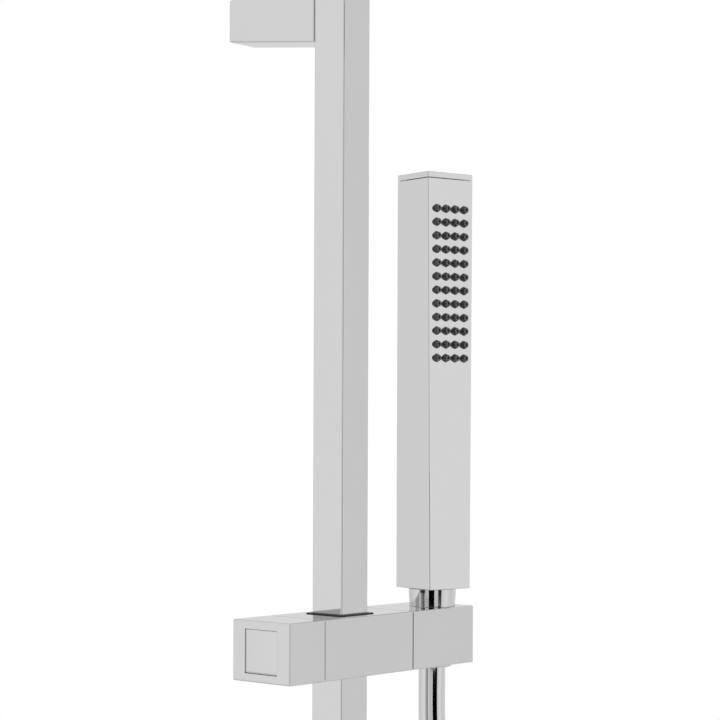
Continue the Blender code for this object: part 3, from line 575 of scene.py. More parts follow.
# The finish of each material slot, with the function that makes it.
MATERIALS = {
    "chrome": ("polished_chrome", chrome_material),
    "hose_skin": ("silver_hose_skin", hose_material),
    "rubber": ("soft_black_rubber", rubber_material),
    "black_plastic": ("moulded_black_plastic", black_plastic_material),
    "white_plastic": ("moulded_white_plastic", white_plastic_material),
    "brass": ("machined_brass", brass_material),
    "steel": ("satin_steel", steel_material),
}


def material_for(slot):
    """The slot's material, made the first time that it is asked for."""
    name, make = MATERIALS[slot]
    return bpy.data.materials.get(name) or make(name, bpy.context.scene.shower_finish)


# ---------------------------------------------------------------- hose


def hose_route():
    """The route's own points: down from the holder, forward past the mixer, round and up to it."""
    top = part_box("shower_hose")[1].z
    outlet = middle("outlet_ferrule")
    start = (*HANDSET_AXIS, top)
    end = (outlet.x, outlet.y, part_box("outlet_ferrule")[0].z - 0.0003)
    return [
        start,
        (0.0677, -0.0755, -0.372),
        (0.0685, -0.0825, -0.430),
        (0.0700, -0.0940, -0.490),
        (0.0720, -0.1040, -0.555),
        (0.0745, -0.1115, -0.640),
        (0.0770, -0.1160, -0.760),
        (0.0790, -0.1180, -0.900),
        (0.0800, -0.1185, -1.050),
        (0.0800, -0.1180, -1.180),
        (0.0785, -0.1150, -1.290),
        (0.0750, -0.1110, -1.362),
        (0.0545, -0.1035, -1.4175),
        (0.0045, -0.0910, -1.4395),
        (-0.0450, -0.0790, -1.4175),
        (-0.0650, -0.0735, -1.366),
        (-0.0660, -0.0710, -1.300),
        (-0.0590, -0.0700, -1.215),
        (-0.0500, -0.0700, -1.155),
        end,
    ]


def smooth_curve(points, count):
    """Evenly spaced points on the centripetal Catmull-Rom curve through the given points."""
    points = [Vector(point) for point in points]
    padded = [2 * points[0] - points[1], *points, 2 * points[-1] - points[-2]]
    fine = []
    for before, start, end, after in zip(padded, padded[1:], padded[2:], padded[3:]):
        t1 = (start - before).length ** 0.5
        t2 = t1 + (end - start).length ** 0.5
        t3 = t2 + (after - end).length ** 0.5
        for step in range(24):
            t = t1 + (t2 - t1) * step / 24
            a1 = before.lerp(start, t / t1)
            a2 = start.lerp(end, (t - t1) / (t2 - t1))
            a3 = end.lerp(after, (t - t2) / (t3 - t2))
            b1 = a1.lerp(a2, t / t2)
            b2 = a2.lerp(a3, (t - t1) / (t3 - t1))
            fine.append(b1.lerp(b2, (t - t1) / (t2 - t1)))
    fine.append(points[-1])
    run = [0.0]
    for start, end in zip(fine, fine[1:]):
        run.append(run[-1] + (end - start).length)
    even, index = [], 0
    for step in range(count):
        target = run[-1] * step / (count - 1)
        while index < len(fine) - 2 and run[index + 1] < target:
            index += 1
        share = (target - run[index]) / (run[index + 1] - run[index])
        even.append(fine[index].lerp(fine[index + 1], min(share, 1.0)))
    return even


def ring_frames(line):
    """A pair of cross directions at each point of the line, carried along it without twist."""
    across = Vector((1, 0, 0))
    frames = []
    for index in range(len(line)):
        ahead = (line[min(index + 1, len(line) - 1)] - line[max(index - 1, 0)]).normalized()
        across = (across - across.dot(ahead) * ahead).normalized()
        frames.append((across.copy(), ahead.cross(across)))
    return frames


def tube(name, line, frames, radius, sides):
    """A closed tube of round rings along the line."""
    form = bmesh.new()
    rings = []
    for point, (across, up) in zip(line, frames):
        angles = [2 * math.pi * side / sides for side in range(sides)]
        rings.append([
            form.verts.new(point + radius * (math.cos(a) * across + math.sin(a) * up)) for a in angles
        ])
    for lower, upper in zip(rings, rings[1:]):
        for side in range(sides):
            after = (side + 1) % sides
            form.faces.new((lower[side], lower[after], upper[after], upper[side]))
    form.faces.new(rings[0][::-1])
    form.faces.new(rings[-1])
    bmesh.ops.recalc_face_normals(form, faces=form.faces)
    return new_piece(name, form)


HOSE_STRETCHES = (
    # name, the body it starts on, the body it ends on
    ("hose_below_handset", "hose_end", "holder"),
    ("hose_below_holder", "holder", "slider"),
    ("hose_long_fall", "slider", "column"),
    ("hose_rise_to_mixer", "column", "column"),
)
HOSE_JOINTS_Z = (-0.416, -0.502, -1.360)


def make_ferrule():
    """The crimped ferrule that ends the hose at the mixer."""
    low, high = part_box("outlet_ferrule")
    tail, flange = level_radius("outlet_ferrule", low.z), level_radius("outlet_ferrule", high.z)
    bore, flange_foot = level_bore("outlet_ferrule", high.z), high.z - 0.0018
    ridge, spacing = 0.0003, 0.0022
    profile = [(flange, high.z), (flange, flange_foot), (tail, flange_foot)]
    for count in range(4):
        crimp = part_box("outlet_nut")[0].z - 0.004 - count * spacing
        profile += [(tail, crimp + ridge), (tail - ridge, crimp), (tail, crimp - ridge)]
    profile += [(tail, low.z), (bore, low.z), (bore, high.z)]
    ferrule = lathe("crimped_ferrule", profile, (*middle("outlet_ferrule").xy, 0), sides=64)
    dress(ferrule, "outlet_ferrule")


def make_hose(settings):
    """The hose in four stretches, cut at three heights; a stretch on one body rides with it, the others stay
    in place.
    """
    line = smooth_curve(hose_route(), settings.rings)
    frames = ring_frames(line)
    lowest = min(range(len(line)), key=lambda index: line[index].z)
    falling = line[:lowest]
    breaks = [0]
    for height in HOSE_JOINTS_Z:
        breaks.append(next(index for index, point in enumerate(falling) if point.z < height))
    breaks.append(len(line) - 1)
    for index, (name, upper_body, lower_body) in enumerate(HOSE_STRETCHES):
        first, last = breaks[index], breaks[index + 1]
        path = line[first : last + 1]
        piece = tube(name, path, frames[first : last + 1], settings.diameter / 2, settings.sides)
        settle(piece, sharp=60)
        piece.data.materials.append(material_for("hose_skin"))
        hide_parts("shower_hose")
        if upper_body == lower_body:
            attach(piece, upper_body)
        else:
            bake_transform(piece)


# ---------------------------------------------------------------- column, arm and bracket


def grown(node, by):
    """A node's corners moved outward by a distance on every side."""
    low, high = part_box(node)
    reach = Vector((by, by, by))
    return low - reach, high + reach


def tube_bar(name, node, wall, along, edges):
    """A square tube in a node's place, hollow along an axis."""
    low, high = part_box(node)
    piece = bar(name, low, high, edges.tube, edges.steps)
    inner_low, inner_high = grown(node, -wall)
    index = "XYZ".index(along)
    inner_low[index], inner_high[index] = low[index] - 0.01, high[index] + 0.01
    carve(piece, bar("way", inner_low, inner_high))
    return piece


def make_column(column, edges):
    """The square column and overhead arm with their elbow and end cap."""
    dress(tube_bar("column_tube", "riser_column", column.wall, "Z", edges), "riser_column")
    dress(tube_bar("arm_tube", "overhead_arm", column.wall, "Y", edges), "overhead_arm")
    low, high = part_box("riser_column")
    elbow_low = Vector((low.x, low.y, high.z + GAP))
    elbow_high = Vector((high.x, high.y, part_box("arm_elbow")[1].z))
    dress(bar("elbow_block", elbow_low, elbow_high, edges.tube, edges.steps), "arm_elbow")
    cap_low, cap_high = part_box("arm_end_cap")
    cap_high.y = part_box("overhead_arm")[0].y - GAP
    dress(bar("arm_cap", cap_low, cap_high, edges.tube, edges.steps), "arm_end_cap")


def level_range(node, axis, low, high, measured):
    """Lowest and highest value on one axis of a node's corners whose other coordinate is in a range."""
    corners = [v.co for v in frame["nodes"][node].data.vertices if low <= v.co[axis] <= high]
    return min(c[measured] for c in corners), max(c[measured] for c in corners)


def make_bracket(column, edges):
    """The hollow bracket, deeper at the column than at the wall."""
    low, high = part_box("wall_bracket")
    at_wall = level_range("wall_bracket", 1, high.y - 0.001, high.y, 2)
    at_column = level_range("wall_bracket", 1, low.y, low.y + 0.001, 2)
    levels = {-1: at_column, 1: at_wall}
    across = {-1: low.x, 1: high.x}
    depth = {-1: low.y, 1: high.y}

    def outer(x, y, z):
        return Vector((across[x], depth[y], levels[y][z > 0]))

    def inner(x, y, z):
        end = 0.01 if y > 0 else column.bracket_wall
        wall = column.bracket_wall
        return Vector((across[x] - x * wall, depth[y] + end, levels[y][z > 0] - z * wall))

    shell = hexahedron("bracket_shell", outer, edges.tube, edges.steps)
    carve(shell, hexahedron("bracket_hollow", inner))
    dress(shell, "wall_bracket")


# ---------------------------------------------------------------- slider


def make_slider(edges):
    """The slider's middle block, with the bush that slides on the column."""
    low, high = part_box("slider_body")
    block = bar("slider_block", low, high, edges.block, edges.steps)
    liner_low, liner_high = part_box("slider_liner")
    half = (liner_high.x - liner_low.x) / 2 + GAP
    carve(block, square_bar("passage", COLUMN_AXIS, half, low.z - 0.01, high.z + 0.01))
    dress(block, "slider_body")

    bush = bar("liner_bush", liner_low, liner_high, 0.0002, 2)
    tube_low, tube_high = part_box("riser_column")
    half = (tube_high.x - tube_low.x) / 2 + GAP
    carve(bush, square_bar("bush_bore", COLUMN_AXIS, half, liner_low.z - 0.01, liner_high.z + 0.01))
    dress(bush, "slider_liner")


def make_lock_knob(edges):
    """The square end block that locks the slider, with the shallow raised plate in its end."""
    low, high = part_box("lock_knob")
    high.x += SEAM_FILL
    knob = bar("lock_block", low, high, edges.block, edges.steps)
    plate_low, plate_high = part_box("knob_insert")
    room = Vector((GAP, GAP / 6, GAP / 2))
    pocket_low = plate_low - room
    pocket_low.x = low.x - 0.01
    carve(knob, bar("pocket", pocket_low, plate_high + room))
    dress(knob, "lock_knob")

    plate = bar("lock_plate", plate_low, plate_high)
    form = bmesh.new()
    form.from_mesh(plate.data)
    face = min(form.faces, key=lambda face: face.calc_center_median().x)
    bmesh.ops.inset_region(form, faces=[face], thickness=edges.plate_slope, depth=0)
    for vertex in form.verts:
        if vertex not in face.verts:
            vertex.co.x = max(vertex.co.x, plate_low.x + edges.plate_drop)
    form.to_mesh(plate.data)
    form.free()
    dress(plate, "knob_insert")


def make_holder(edges):
    """The end block that tilts the handset, with its conical socket."""
    low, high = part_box("handset_holder")
    low.x -= SEAM_FILL
    holder = bar("holder_block", low, high, edges.block, edges.steps)
    cone_low, cone_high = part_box("hose_cone")
    top, foot = (cone_high.x - cone_low.x) / 2, level_radius("hose_cone", cone_low.z)
    slope = (top - foot) / (cone_high.z - cone_low.z)
    play, rim, beyond = 0.0002, 0.0006, 0.01

    def radius(height):
        return foot + slope * (height - cone_low.z) + play

    socket = [
        (0, high.z + beyond), (radius(high.z) + rim + beyond, high.z + beyond),
        (radius(high.z), high.z - rim), (radius(low.z), low.z + rim),
        (radius(low.z) + rim + beyond, low.z - beyond), (0, low.z - beyond),
    ]
    carve(holder, lathe("socket", socket, (*HANDSET_AXIS, 0), sides=72))
    dress(holder, "handset_holder")


def level_radius(node, height):
    """The greatest distance from a round node's axis at a height."""
    axis = middle(node).xy
    corners = [v.co for v in frame["nodes"][node].data.vertices if abs(v.co.z - height) < TINY]
    return max((corner.xy - axis).length for corner in corners)


# ---------------------------------------------------------------- handset


def handset_matrix(settings):
    """From the handset's own frame, upright on its axis, to the row frame."""
    return Matrix.Translation((*HANDSET_AXIS, 0)) @ Matrix.Rotation(settings.turn, 4, "Z")


def section(node, to_own, low, high):
    """Half width, front and back of a node between two heights, in the handset's own frame."""
    corners = [to_own @ v.co for v in frame["nodes"][node].data.vertices if low <= v.co.z <= high]
    half = max(abs(corner.x) for corner in corners)
    return half, min(corner.y for corner in corners), max(corner.y for corner in corners)


def tapered(name, foot, top, heights, edge, steps):
    """A box that tapers from its foot section to its top section."""
    levels = {-1: foot, 1: top}

    def corner(x, y, z):
        half, front, back = levels[z]
        return Vector((x * half, front if y < 0 else back, heights[z > 0]))

    return hexahedron(name, corner, edge, steps)


def shrunk(outline, wall):
    half, front, back = outline
    return half - wall, front + wall, back - wall


def nozzle_grid(rows, columns, pitch_up, pitch_across):
    """Centres of the nozzles about the middle of their field."""
    for row in range(rows):
        for column in range(columns):
            x = (column - (columns - 1) / 2) * pitch_across
            z = (row - (rows - 1) / 2) * pitch_up
            yield x, z


def nozzle_profile(radius, proud, foot):
    """A soft nozzle's side from its orifice down its outer side, heights above the shell's face."""
    tip, hole, pit = 0.78 * radius, 0.30 * radius, 0.35 * radius
    return [
        (0, proud - pit), (hole, proud - pit), (1.2 * hole, proud), (0.85 * tip, proud),
        (tip, proud - 0.10 * radius), (0.97 * radius, 0.2 * proud), (radius, 0), (radius, -foot), (0, -foot),
    ]


def add_turned(form, profile, place, direction, sides):
    """One turned profile added to a bmesh. place is on the face, and direction points outward."""
    side = direction.orthogonal().normalized()
    up = direction.cross(side)
    rings = []
    for radius, height in profile:
        centre = place + direction * height
        turns = [2 * math.pi * step / sides for step in range(sides if radius else 1)]
        rings.append([
            form.verts.new(centre + radius * (math.cos(a) * side + math.sin(a) * up)) for a in turns
        ])
    for upper, lower in zip(rings, rings[1:]):
        for step in range(sides):
            corners = [ring[index % len(ring)] for ring, index in (
                (upper, step), (upper, step + 1), (lower, step + 1), (lower, step)
            )]
            form.faces.new(list(dict.fromkeys(corners)))


def turned_field(name, profile, places, direction, sides):
    """One piece with the same turned profile at every place."""
    form = bmesh.new()
    for place in places:
        add_turned(form, profile, place, direction, sides)
    bmesh.ops.recalc_face_normals(form, faces=form.faces)
    return new_piece(name, form)


def holes_for(places, direction, radius):
    """Cutters that pass through a plate at every place."""
    play, above, below = 0.00015, 0.003, 0.004
    profile = [(0, above), (radius + play, above), (radius + play, -below), (0, -below)]
    return turned_field("holes", profile, places, direction, 20)


def make_handset(settings, edges):
    """The tapered shell with its cap, and the soft mat whose nozzles stand through the front."""
    to_row = handset_matrix(settings)
    to_own = to_row.inverted()
    foot_z, shell_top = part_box("handset_body")[0].z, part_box("handset_body")[1].z
    top_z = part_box("handset_cap")[1].z
    foot = section("handset_body", to_own, foot_z, foot_z + 0.001)
    top = section("handset_body", to_own, shell_top - 0.001, shell_top)
    wall = settings.wall
    shell = tapered("handset_shell", foot, top, (foot_z, shell_top), edges.fine, edges.steps)
    hollow = tapered(
        "hollow", shrunk(foot, wall), shrunk(top, wall), (foot_z + wall, shell_top - wall), 0.0, 1
    )
    inlet_radius = level_bore("hose_cone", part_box("hose_cone")[1].z)
    inlet = prism("inlet", inlet_radius, (0, 0, foot_z - 0.005), 0.010, "Z")

    slope = math.atan2(top[1] - foot[1], top_z - foot_z)
    field_z = top_z - settings.top_row - (settings.rows - 1) / 2 * settings.pitch_up
    field_y = foot[1] + math.tan(slope) * (field_z - foot_z)
    plane = Matrix.Translation((0, field_y, field_z)) @ Matrix.Rotation(-slope, 4, "X")
    forward = (plane.to_3x3() @ Vector((0, -1, 0))).normalized()
    places = [
        plane @ Vector((x, 0, z))
        for x, z in nozzle_grid(settings.rows, settings.columns, settings.pitch_up, settings.pitch_across)
    ]
    carve(shell, hollow, inlet, holes_for(places, forward, settings.nozzle_radius))
    shell.data.transform(to_row)
    dress(shell, "handset_body")

    mat_wall, reach = 0.0015, 0.0005
    half_x = settings.columns / 2 * settings.pitch_across
    half_z = settings.rows / 2 * settings.pitch_up
    mat = bar("handset_nozzles", (-half_x, wall + GAP, -half_z), (half_x, wall + GAP + mat_wall, half_z))
    mat.data.transform(plane)
    profile = nozzle_profile(settings.nozzle_radius, settings.nozzle_proud, wall + GAP + reach)
    combine(mat, "UNION", turned_field("nozzles", profile, places, forward, 20))
    mat.data.transform(to_row)
    dress(mat, "nozzle_mat")

    cap = tapered("handset_lid", top, top, (shell_top + settings.seam, top_z), edges.fine, edges.steps)
    cap.data.transform(to_row)
    dress(cap, "handset_cap")


def make_cone(edges):
    """The conical nut between the handset and the hose."""
    low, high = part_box("hose_cone")
    top, foot = (high.x - low.x) / 2, level_radius("hose_cone", low.z)
    mouth, thread = level_bore("hose_cone", low.z), level_bore("hose_cone", high.z)
    top_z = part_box("handset_body")[0].z - 0.0001
    floor_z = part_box("hose_ferrule")[1].z
    profile = [
        (top, top_z), (foot, low.z), (mouth, low.z), (mouth, floor_z), (thread, floor_z), (thread, top_z)
    ]
    cone = lathe("cone_nut", profile, (*HANDSET_AXIS, 0), sides=96, fillet=edges.fine)
    dress(cone, "hose_cone")


def level_bore(node, height):
    """The least distance from a round node's axis at a height."""
    axis = middle(node).xy
    corners = [v.co for v in frame["nodes"][node].data.vertices if abs(v.co.z - height) < TINY]
    return min((corner.xy - axis).length for corner in corners)


# ---------------------------------------------------------------- rain head


def make_head(settings, edges):
    """The square shell with its hub, the spray plate in it, and the soft mat with its nozzles."""
    low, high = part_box("head_shell")
    shell_top = high.z - settings.hub_height
    shell = bar("head_shell_square", low, (high.x, high.y, shell_top), edges.plate, edges.steps)
    hub = square_bar("hub", BALL.xy, settings.hub_half, shell_top - 0.001, high.z, edges.fine)
    combine(shell, "UNION", hub)
    plate_low, plate_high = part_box("head_spray_plate")
    cavity_half = (plate_high.x - plate_low.x) / 2 + GAP
    cavity = square_bar("cavity", BALL.xy, cavity_half, low.z - 0.01, shell_top - settings.wall)
    neck_hole = prism("neck_hole", settings.neck_radius + GAP, (*BALL.xy, shell_top - 0.005), 0.02, "Z")
    carve(shell, cavity, neck_hole)
    dress(shell, "head_shell")

    down = Vector((0, 0, -1))
    pitch = (plate_high.x - plate_low.x - 2 * settings.border) / (settings.nozzles - 1)
    places = [
        Vector((BALL.x + x, BALL.y + y, plate_low.z))
        for x, y in nozzle_grid(settings.nozzles, settings.nozzles, pitch, pitch)
    ]
    plate = bar("spray_plate", plate_low, plate_high, GAP, 2)
    carve(plate, holes_for(places, down, settings.nozzle_radius))
    dress(plate, "head_spray_plate")
    mat_low, mat_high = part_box("head_nozzle_mat")
    mat = bar("head_nozzles", mat_low, mat_high)
    foot = mat_low.z - plate_low.z + 0.0005
    profile = nozzle_profile(settings.nozzle_radius, settings.nozzle_proud, foot)
    combine(mat, "UNION", turned_field("nozzles", profile, places, down, 16))
    dress(mat, "head_nozzle_mat")


def make_head_joint(settings):
    """The ball, the nut that holds it and the neck below it."""
    low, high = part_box("swivel_ball")
    radius = (high.x - low.x) / 2
    edge = math.acos(settings.waterway / radius)
    steps = 24
    sweep = [edge * (1 - 2 * step / steps) for step in range(steps + 1)]
    ball = lathe("joint_ball", [(radius * math.cos(a), radius * math.sin(a)) for a in sweep], BALL)
    dress(ball, "swivel_ball")

    low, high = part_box("swivel_nut")
    outer, top, foot = (high.x - low.x) / 2, high.z - BALL.z, low.z - BALL.z
    seat = radius + settings.ball_play
    thread, chamber_z, taper_z = settings.nut_thread, settings.nut_chamber, settings.nut_taper
    mouth = level_bore("swivel_nut", low.z)
    groove, groove_heights = 0.0005, (0.017, 0.014)
    profile = [(outer, top)]
    for height in groove_heights:
        profile += [(outer, height + groove), (outer - groove, height), (outer, height - groove)]
    profile += [(outer, taper_z), (mouth + 0.002, foot), (mouth, foot)]
    lip = math.asin(-foot / seat) if foot > -seat else math.pi / 4
    profile += [(seat * math.cos(a), -seat * math.sin(a)) for a in (0.9 * lip, 0.6 * lip, 0.3 * lip, 0)]
    profile += [(seat, chamber_z), (thread, chamber_z), (thread, top)]
    dress(lathe("joint_nut", profile, BALL, sides=96, fillet=GAP), "swivel_nut")

    low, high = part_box("head_neck")
    collar, hub_top = (high.x - low.x) / 2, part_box("head_shell")[1].z + GAP
    neck, way = settings.neck_radius, settings.waterway
    collar_top, neck_drop = hub_top + 0.0027, 0.0014
    profile = [
        (neck, high.z), (neck, collar_top + 0.0005), (collar, collar_top), (collar, hub_top),
        (neck, hub_top), (neck, low.z), (way, low.z), (way, high.z - neck_drop),
    ]
    dress(lathe("neck", profile, (*BALL.xy, 0), sides=72), "head_neck")


# ---------------------------------------------------------------- mixer


def hex_nut(name, node, axis, hole, chamfer):
    """A hexagon nut in a node's place, with its corners turned down at both ends."""
    low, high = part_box(node)
    index = "XYZ".index(axis)
    start = middle(node)
    start[index] = low[index]
    length = high[index] - low[index]
    radius = max(high[other] - low[other] for other in range(3) if other != index) / 2
    flat = radius * math.cos(math.pi / 6)
    nut = prism(name, radius, start, length, axis, sides=6)
    turned_down = [
        (0, length), (flat, length), (radius, length - chamfer), (radius, chamfer), (flat, 0), (0, 0)
    ]
    combine(nut, "INTERSECT", lathe("turned_down", turned_down, start, axis, sides=96))
    start[index] -= length
    carve(nut, prism("hole", hole, start, 3 * length, axis))
    dress(nut, node)


def make_mixer_body(settings, edges):
    """The square bar with its bores, and the collar that stands on it around the column's foot."""
    low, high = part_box("mixer_body")
    centre = middle("mixer_body")
    reach, cartridge_reach = 0.03, 0.045
    bores = [
        prism("riser_bore", settings.tail_bore, centre, reach, "Z"),
        prism("hose_bore", settings.tail_bore, (middle("hose_outlet").x, *centre.yz), -reach, "Z"),
    ]
    for side in ("temperature", "flow"):
        cartridge_low, cartridge_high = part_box(f"{side}_cartridge")
        outward = math.copysign(1, cartridge_low.x)
        inner = min(cartridge_low.x, cartridge_high.x, key=abs) - outward * TINY
        place = (inner, *centre.yz)
        bores.append(prism("cartridge_bore", settings.cartridge_bore, place, outward * cartridge_reach, "X"))
    for side in ("left", "right"):
        place = (middle(f"union_nut_{side}").x, *centre.yz)
        bores.append(prism("inlet_port", settings.inlet_port, place, reach, "Y"))
    block = bar("mixer_block", low, high, edges.plate, edges.steps)
    dress(carve(block, *bores), "mixer_body")

    low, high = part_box("riser_collar")
    tube_low, tube_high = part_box("riser_column")
    half = (tube_high.x - tube_low.x) / 2 + GAP
    collar = bar("foot_collar", low, high, edges.plate, edges.steps)
    carve(collar, square_bar("collar_bore", COLUMN_AXIS, half, low.z - 0.01, high.z + 0.01))
    dress(collar, "riser_collar")


def make_handles(settings, edges):
    """The two square handles on the mixer's ends, and the push button in one of them."""
    centre = middle("mixer_body")
    start_inside, hollow_depth, socket_depth, button_stroke = 0.005, 0.018, 0.030, 0.004
    button_low, button_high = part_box("safety_button")
    body_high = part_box("mixer_body")[1]
    for name in ("temperature", "flow"):
        low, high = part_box(f"{name}_handle")
        outward = math.copysign(1, low.x)
        handle = bar(f"{name}_grip", low, high, edges.plate, edges.steps)
        hollow_start = (outward * (body_high.x - start_inside), *centre.yz)
        socket_start = (outward * body_high.x, *centre.yz)
        cutters = [
            prism("hollow", settings.cartridge_bore, hollow_start, outward * hollow_depth, "X"),
            prism("socket", settings.spindle_bore, socket_start, outward * socket_depth, "X"),
        ]
        if name == "temperature":
            room = Vector((GAP, GAP, button_stroke))
            cutters.append(bar("slot", button_low - room, button_high + room))
        dress(carve(handle, *cutters), f"{name}_handle")
    dress(bar("push_button", button_low, button_high, edges.plate / 2, edges.steps), "safety_button")


def make_unions(settings, edges):
    """The wall flanges and nuts of the inlets, and the nut of the outlet."""
    for side in ("left", "right"):
        low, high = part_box(f"wall_flange_{side}")
        flange = bar(f"flange_{side}", low, high, edges.plate, edges.steps)
        place = middle(f"wall_flange_{side}")
        place.y = low.y - 0.01
        carve(flange, prism("flange_hole", settings.union_hole, place, 0.03, "Y"))
        dress(flange, f"wall_flange_{side}")
        hex_nut(f"inlet_nut_{side}", f"union_nut_{side}", "Y", settings.union_hole, settings.nut_chamfer)

    hose_way = level_bore("outlet_nut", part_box("outlet_nut")[0].z)
    hex_nut("hose_nut", "outlet_nut", "Z", hose_way, settings.nut_chamfer)


# ---------------------------------------------------------------- carried-over parts


def finish_carried_parts():
    """Gives each CAD node that is still shown its slot's material."""
    for node, part in frame["nodes"].items():
        if part.hide_render:
            continue
        part.data.materials.clear()
        part.data.materials.append(material_for(SLOT_OF[node]))


# ---------------------------------------------------------------- stage


def make_camera(stage):
    camera = bpy.data.objects.new("camera", bpy.data.cameras.new("camera"))
    bpy.context.scene.collection.objects.link(camera)
    look = Matrix.Rotation(-stage.heading, 4, "Z") @ Matrix.Rotation(math.pi / 2, 4, "X")
    camera.matrix_world = Matrix.Translation(stage.eye) @ look @ Matrix.Rotation(stage.roll, 4, "Z")
    camera.data.lens = stage.lens
    camera.data.sensor_width = 36
    camera.data.shift_x = stage.shift_x
    camera.data.shift_y = stage.shift_y
    bpy.context.scene.camera = camera


def world_nodes(stage):
    """A bright studio all round: soft steps of grey by heading, and one black strip.

    The strip draws the dark lines on rounded corners. A flat face that reflects it is black all over.
    Light that has met chrome more than once is darkened on the column's side, as no real studio does.
    """
    world = bpy.data.worlds.new("studio")
    bpy.context.scene.world = world
    world.use_nodes = True
    nodes, links = world.node_tree.nodes, world.node_tree.links
    nodes.clear()

    def math_node(operation, first, second=None):
        node = nodes.new("ShaderNodeMath")
        node.operation = operation
        for socket, value in zip(node.inputs, (first, second)):
            if isinstance(value, (int, float)):
                socket.default_value = value
            elif value is not None:
                links.new(value, socket)
        return node.outputs["Value"]

    direction = nodes.new("ShaderNodeTexCoord").outputs["Generated"]
    turned = nodes.new("ShaderNodeVectorRotate")
    turned.rotation_type = "Z_AXIS"
    turned.inputs["Angle"].default_value = stage.heading
    links.new(direction, turned.inputs["Vector"])
    parts = nodes.new("ShaderNodeSeparateXYZ")
    links.new(turned.outputs["Vector"], parts.inputs["Vector"])
    across, ahead, up = parts.outputs
    behind = math_node("MULTIPLY", ahead, -1.0)
    heading = math_node("ARCTAN2", across, behind)
    climb = math_node("ARCSINE", up)

    share = math_node("MULTIPLY_ADD", heading, 1 / (2 * math.pi))
    share.node.inputs[2].default_value = 0.5
    tone = nodes.new("ShaderNodeValToRGB")
    tone.color_ramp.interpolation = "EASE"
    steps = (
        # heading from the camera's side in degrees, to the right, and the grey there
        (-180, 0.80), (-130, 0.86), (-100, 1.03), (-75, 1.10), (-45, 0.95), (-12, 0.80), (45, 0.98),
        (72, 1.10), (97, 0.93), (130, 0.95), (180, 0.80),
    )
    ramp = tone.color_ramp
    while len(ramp.elements) > 1:
        ramp.elements.remove(ramp.elements[-1])
    for index, (degrees, grey) in enumerate(steps):
        position = degrees / 360 + 0.5
        element = ramp.elements[0] if index == 0 else ramp.elements.new(position)
        element.position = position
        element.color = (grey, grey, grey, 1)
    links.new(share, tone.inputs["Fac"])

    def ramp_node(value, start, end, low, high):
        """Runs from low to high while the value, in degrees, runs from start to end."""
        node = nodes.new("ShaderNodeMapRange")
        node.interpolation_type = "SMOOTHSTEP"
        sockets = ("From Min", "From Max", "To Min", "To Max")
        for socket, number in zip(sockets, (math.radians(start), math.radians(end), low, high)):
            node.inputs[socket].default_value = number
        links.new(value, node.inputs["Value"])
        return node.outputs["Result"]

    strip_heading, column_side = math.radians(35), math.radians(-83)
    away = math_node("ABSOLUTE", math_node("SUBTRACT", heading, strip_heading))
    level = math_node("ABSOLUTE", climb)
    strip = math_node("MULTIPLY", ramp_node(away, 6, 12, 1.0, 0.0), ramp_node(level, 22, 35, 1.0, 0.0))

    rays = nodes.new("ShaderNodeLightPath")
    again = math_node("GREATER_THAN", rays.outputs["Glossy Depth"], 1.5)
    aside = math_node("ABSOLUTE", math_node("SUBTRACT", heading, column_side))
    shaded = math_node("MULTIPLY", again, ramp_node(aside, 9, 16, 0.45, 0.0))
    clear = math_node("MULTIPLY", math_node("SUBTRACT", 1.0, strip), math_node("SUBTRACT", 1.0, shaded))

    lit = nodes.new("ShaderNodeVectorMath")
    lit.operation = "SCALE"
    links.new(tone.outputs["Color"], lit.inputs[0])
    links.new(clear, lit.inputs["Scale"])

    seen = nodes.new("ShaderNodeMix")
    seen.data_type = "RGBA"
    links.new(rays.outputs["Is Camera Ray"], seen.inputs["Factor"])
    links.new(lit.outputs["Vector"], seen.inputs[6])
    seen.inputs[7].default_value = (1, 1, 1, 1)
    background = nodes.new("ShaderNodeBackground")
    links.new(seen.outputs[2], background.inputs["Color"])
    output = nodes.new("ShaderNodeOutputWorld")
    links.new(background.outputs["Background"], output.inputs["Surface"])


def floor_material():
    return finish_material("pale_floor", (0.86, 0.86, 0.855), 0.0, 0.6, 0.1, 0.03, 2.0, 40.0, 0.05)


def make_floor(stage):
    lowest = CAD_BOX[0].z - stage.floor_gap
    form = bmesh.new()
    bmesh.ops.create_circle(form, cap_ends=True, segments=96, radius=stage.floor_radius)
    floor = new_piece("floor", form)
    floor.location.z = lowest
    floor.data.materials.append(floor_material())


def card_material(near, far):
    """Black to surfaces between the two distances and clear to others, as no real card is."""
    material = bpy.data.materials.new("black_card")
    material.use_nodes = True
    nodes, links = material.node_tree.nodes, material.node_tree.links
    nodes.clear()
    length = nodes.new("ShaderNodeLightPath").outputs["Ray Length"]
    inside = nodes.new("ShaderNodeMath")
    inside.operation = "COMPARE"
    links.new(length, inside.inputs[0])
    inside.inputs[1].default_value = (near + far) / 2
    inside.inputs[2].default_value = (far - near) / 2
    clear = nodes.new("ShaderNodeBsdfTransparent")
    black = nodes.new("ShaderNodeBsdfDiffuse")
    black.inputs["Color"].default_value = (0, 0, 0, 1)
    chosen = nodes.new("ShaderNodeMixShader")
    links.new(inside.outputs["Value"], chosen.inputs["Fac"])
    links.new(clear.outputs["BSDF"], chosen.inputs[1])
    links.new(black.outputs["BSDF"], chosen.inputs[2])
    output = nodes.new("ShaderNodeOutputMaterial")
    links.new(chosen.outputs["Shader"], output.inputs["Surface"])
    return material


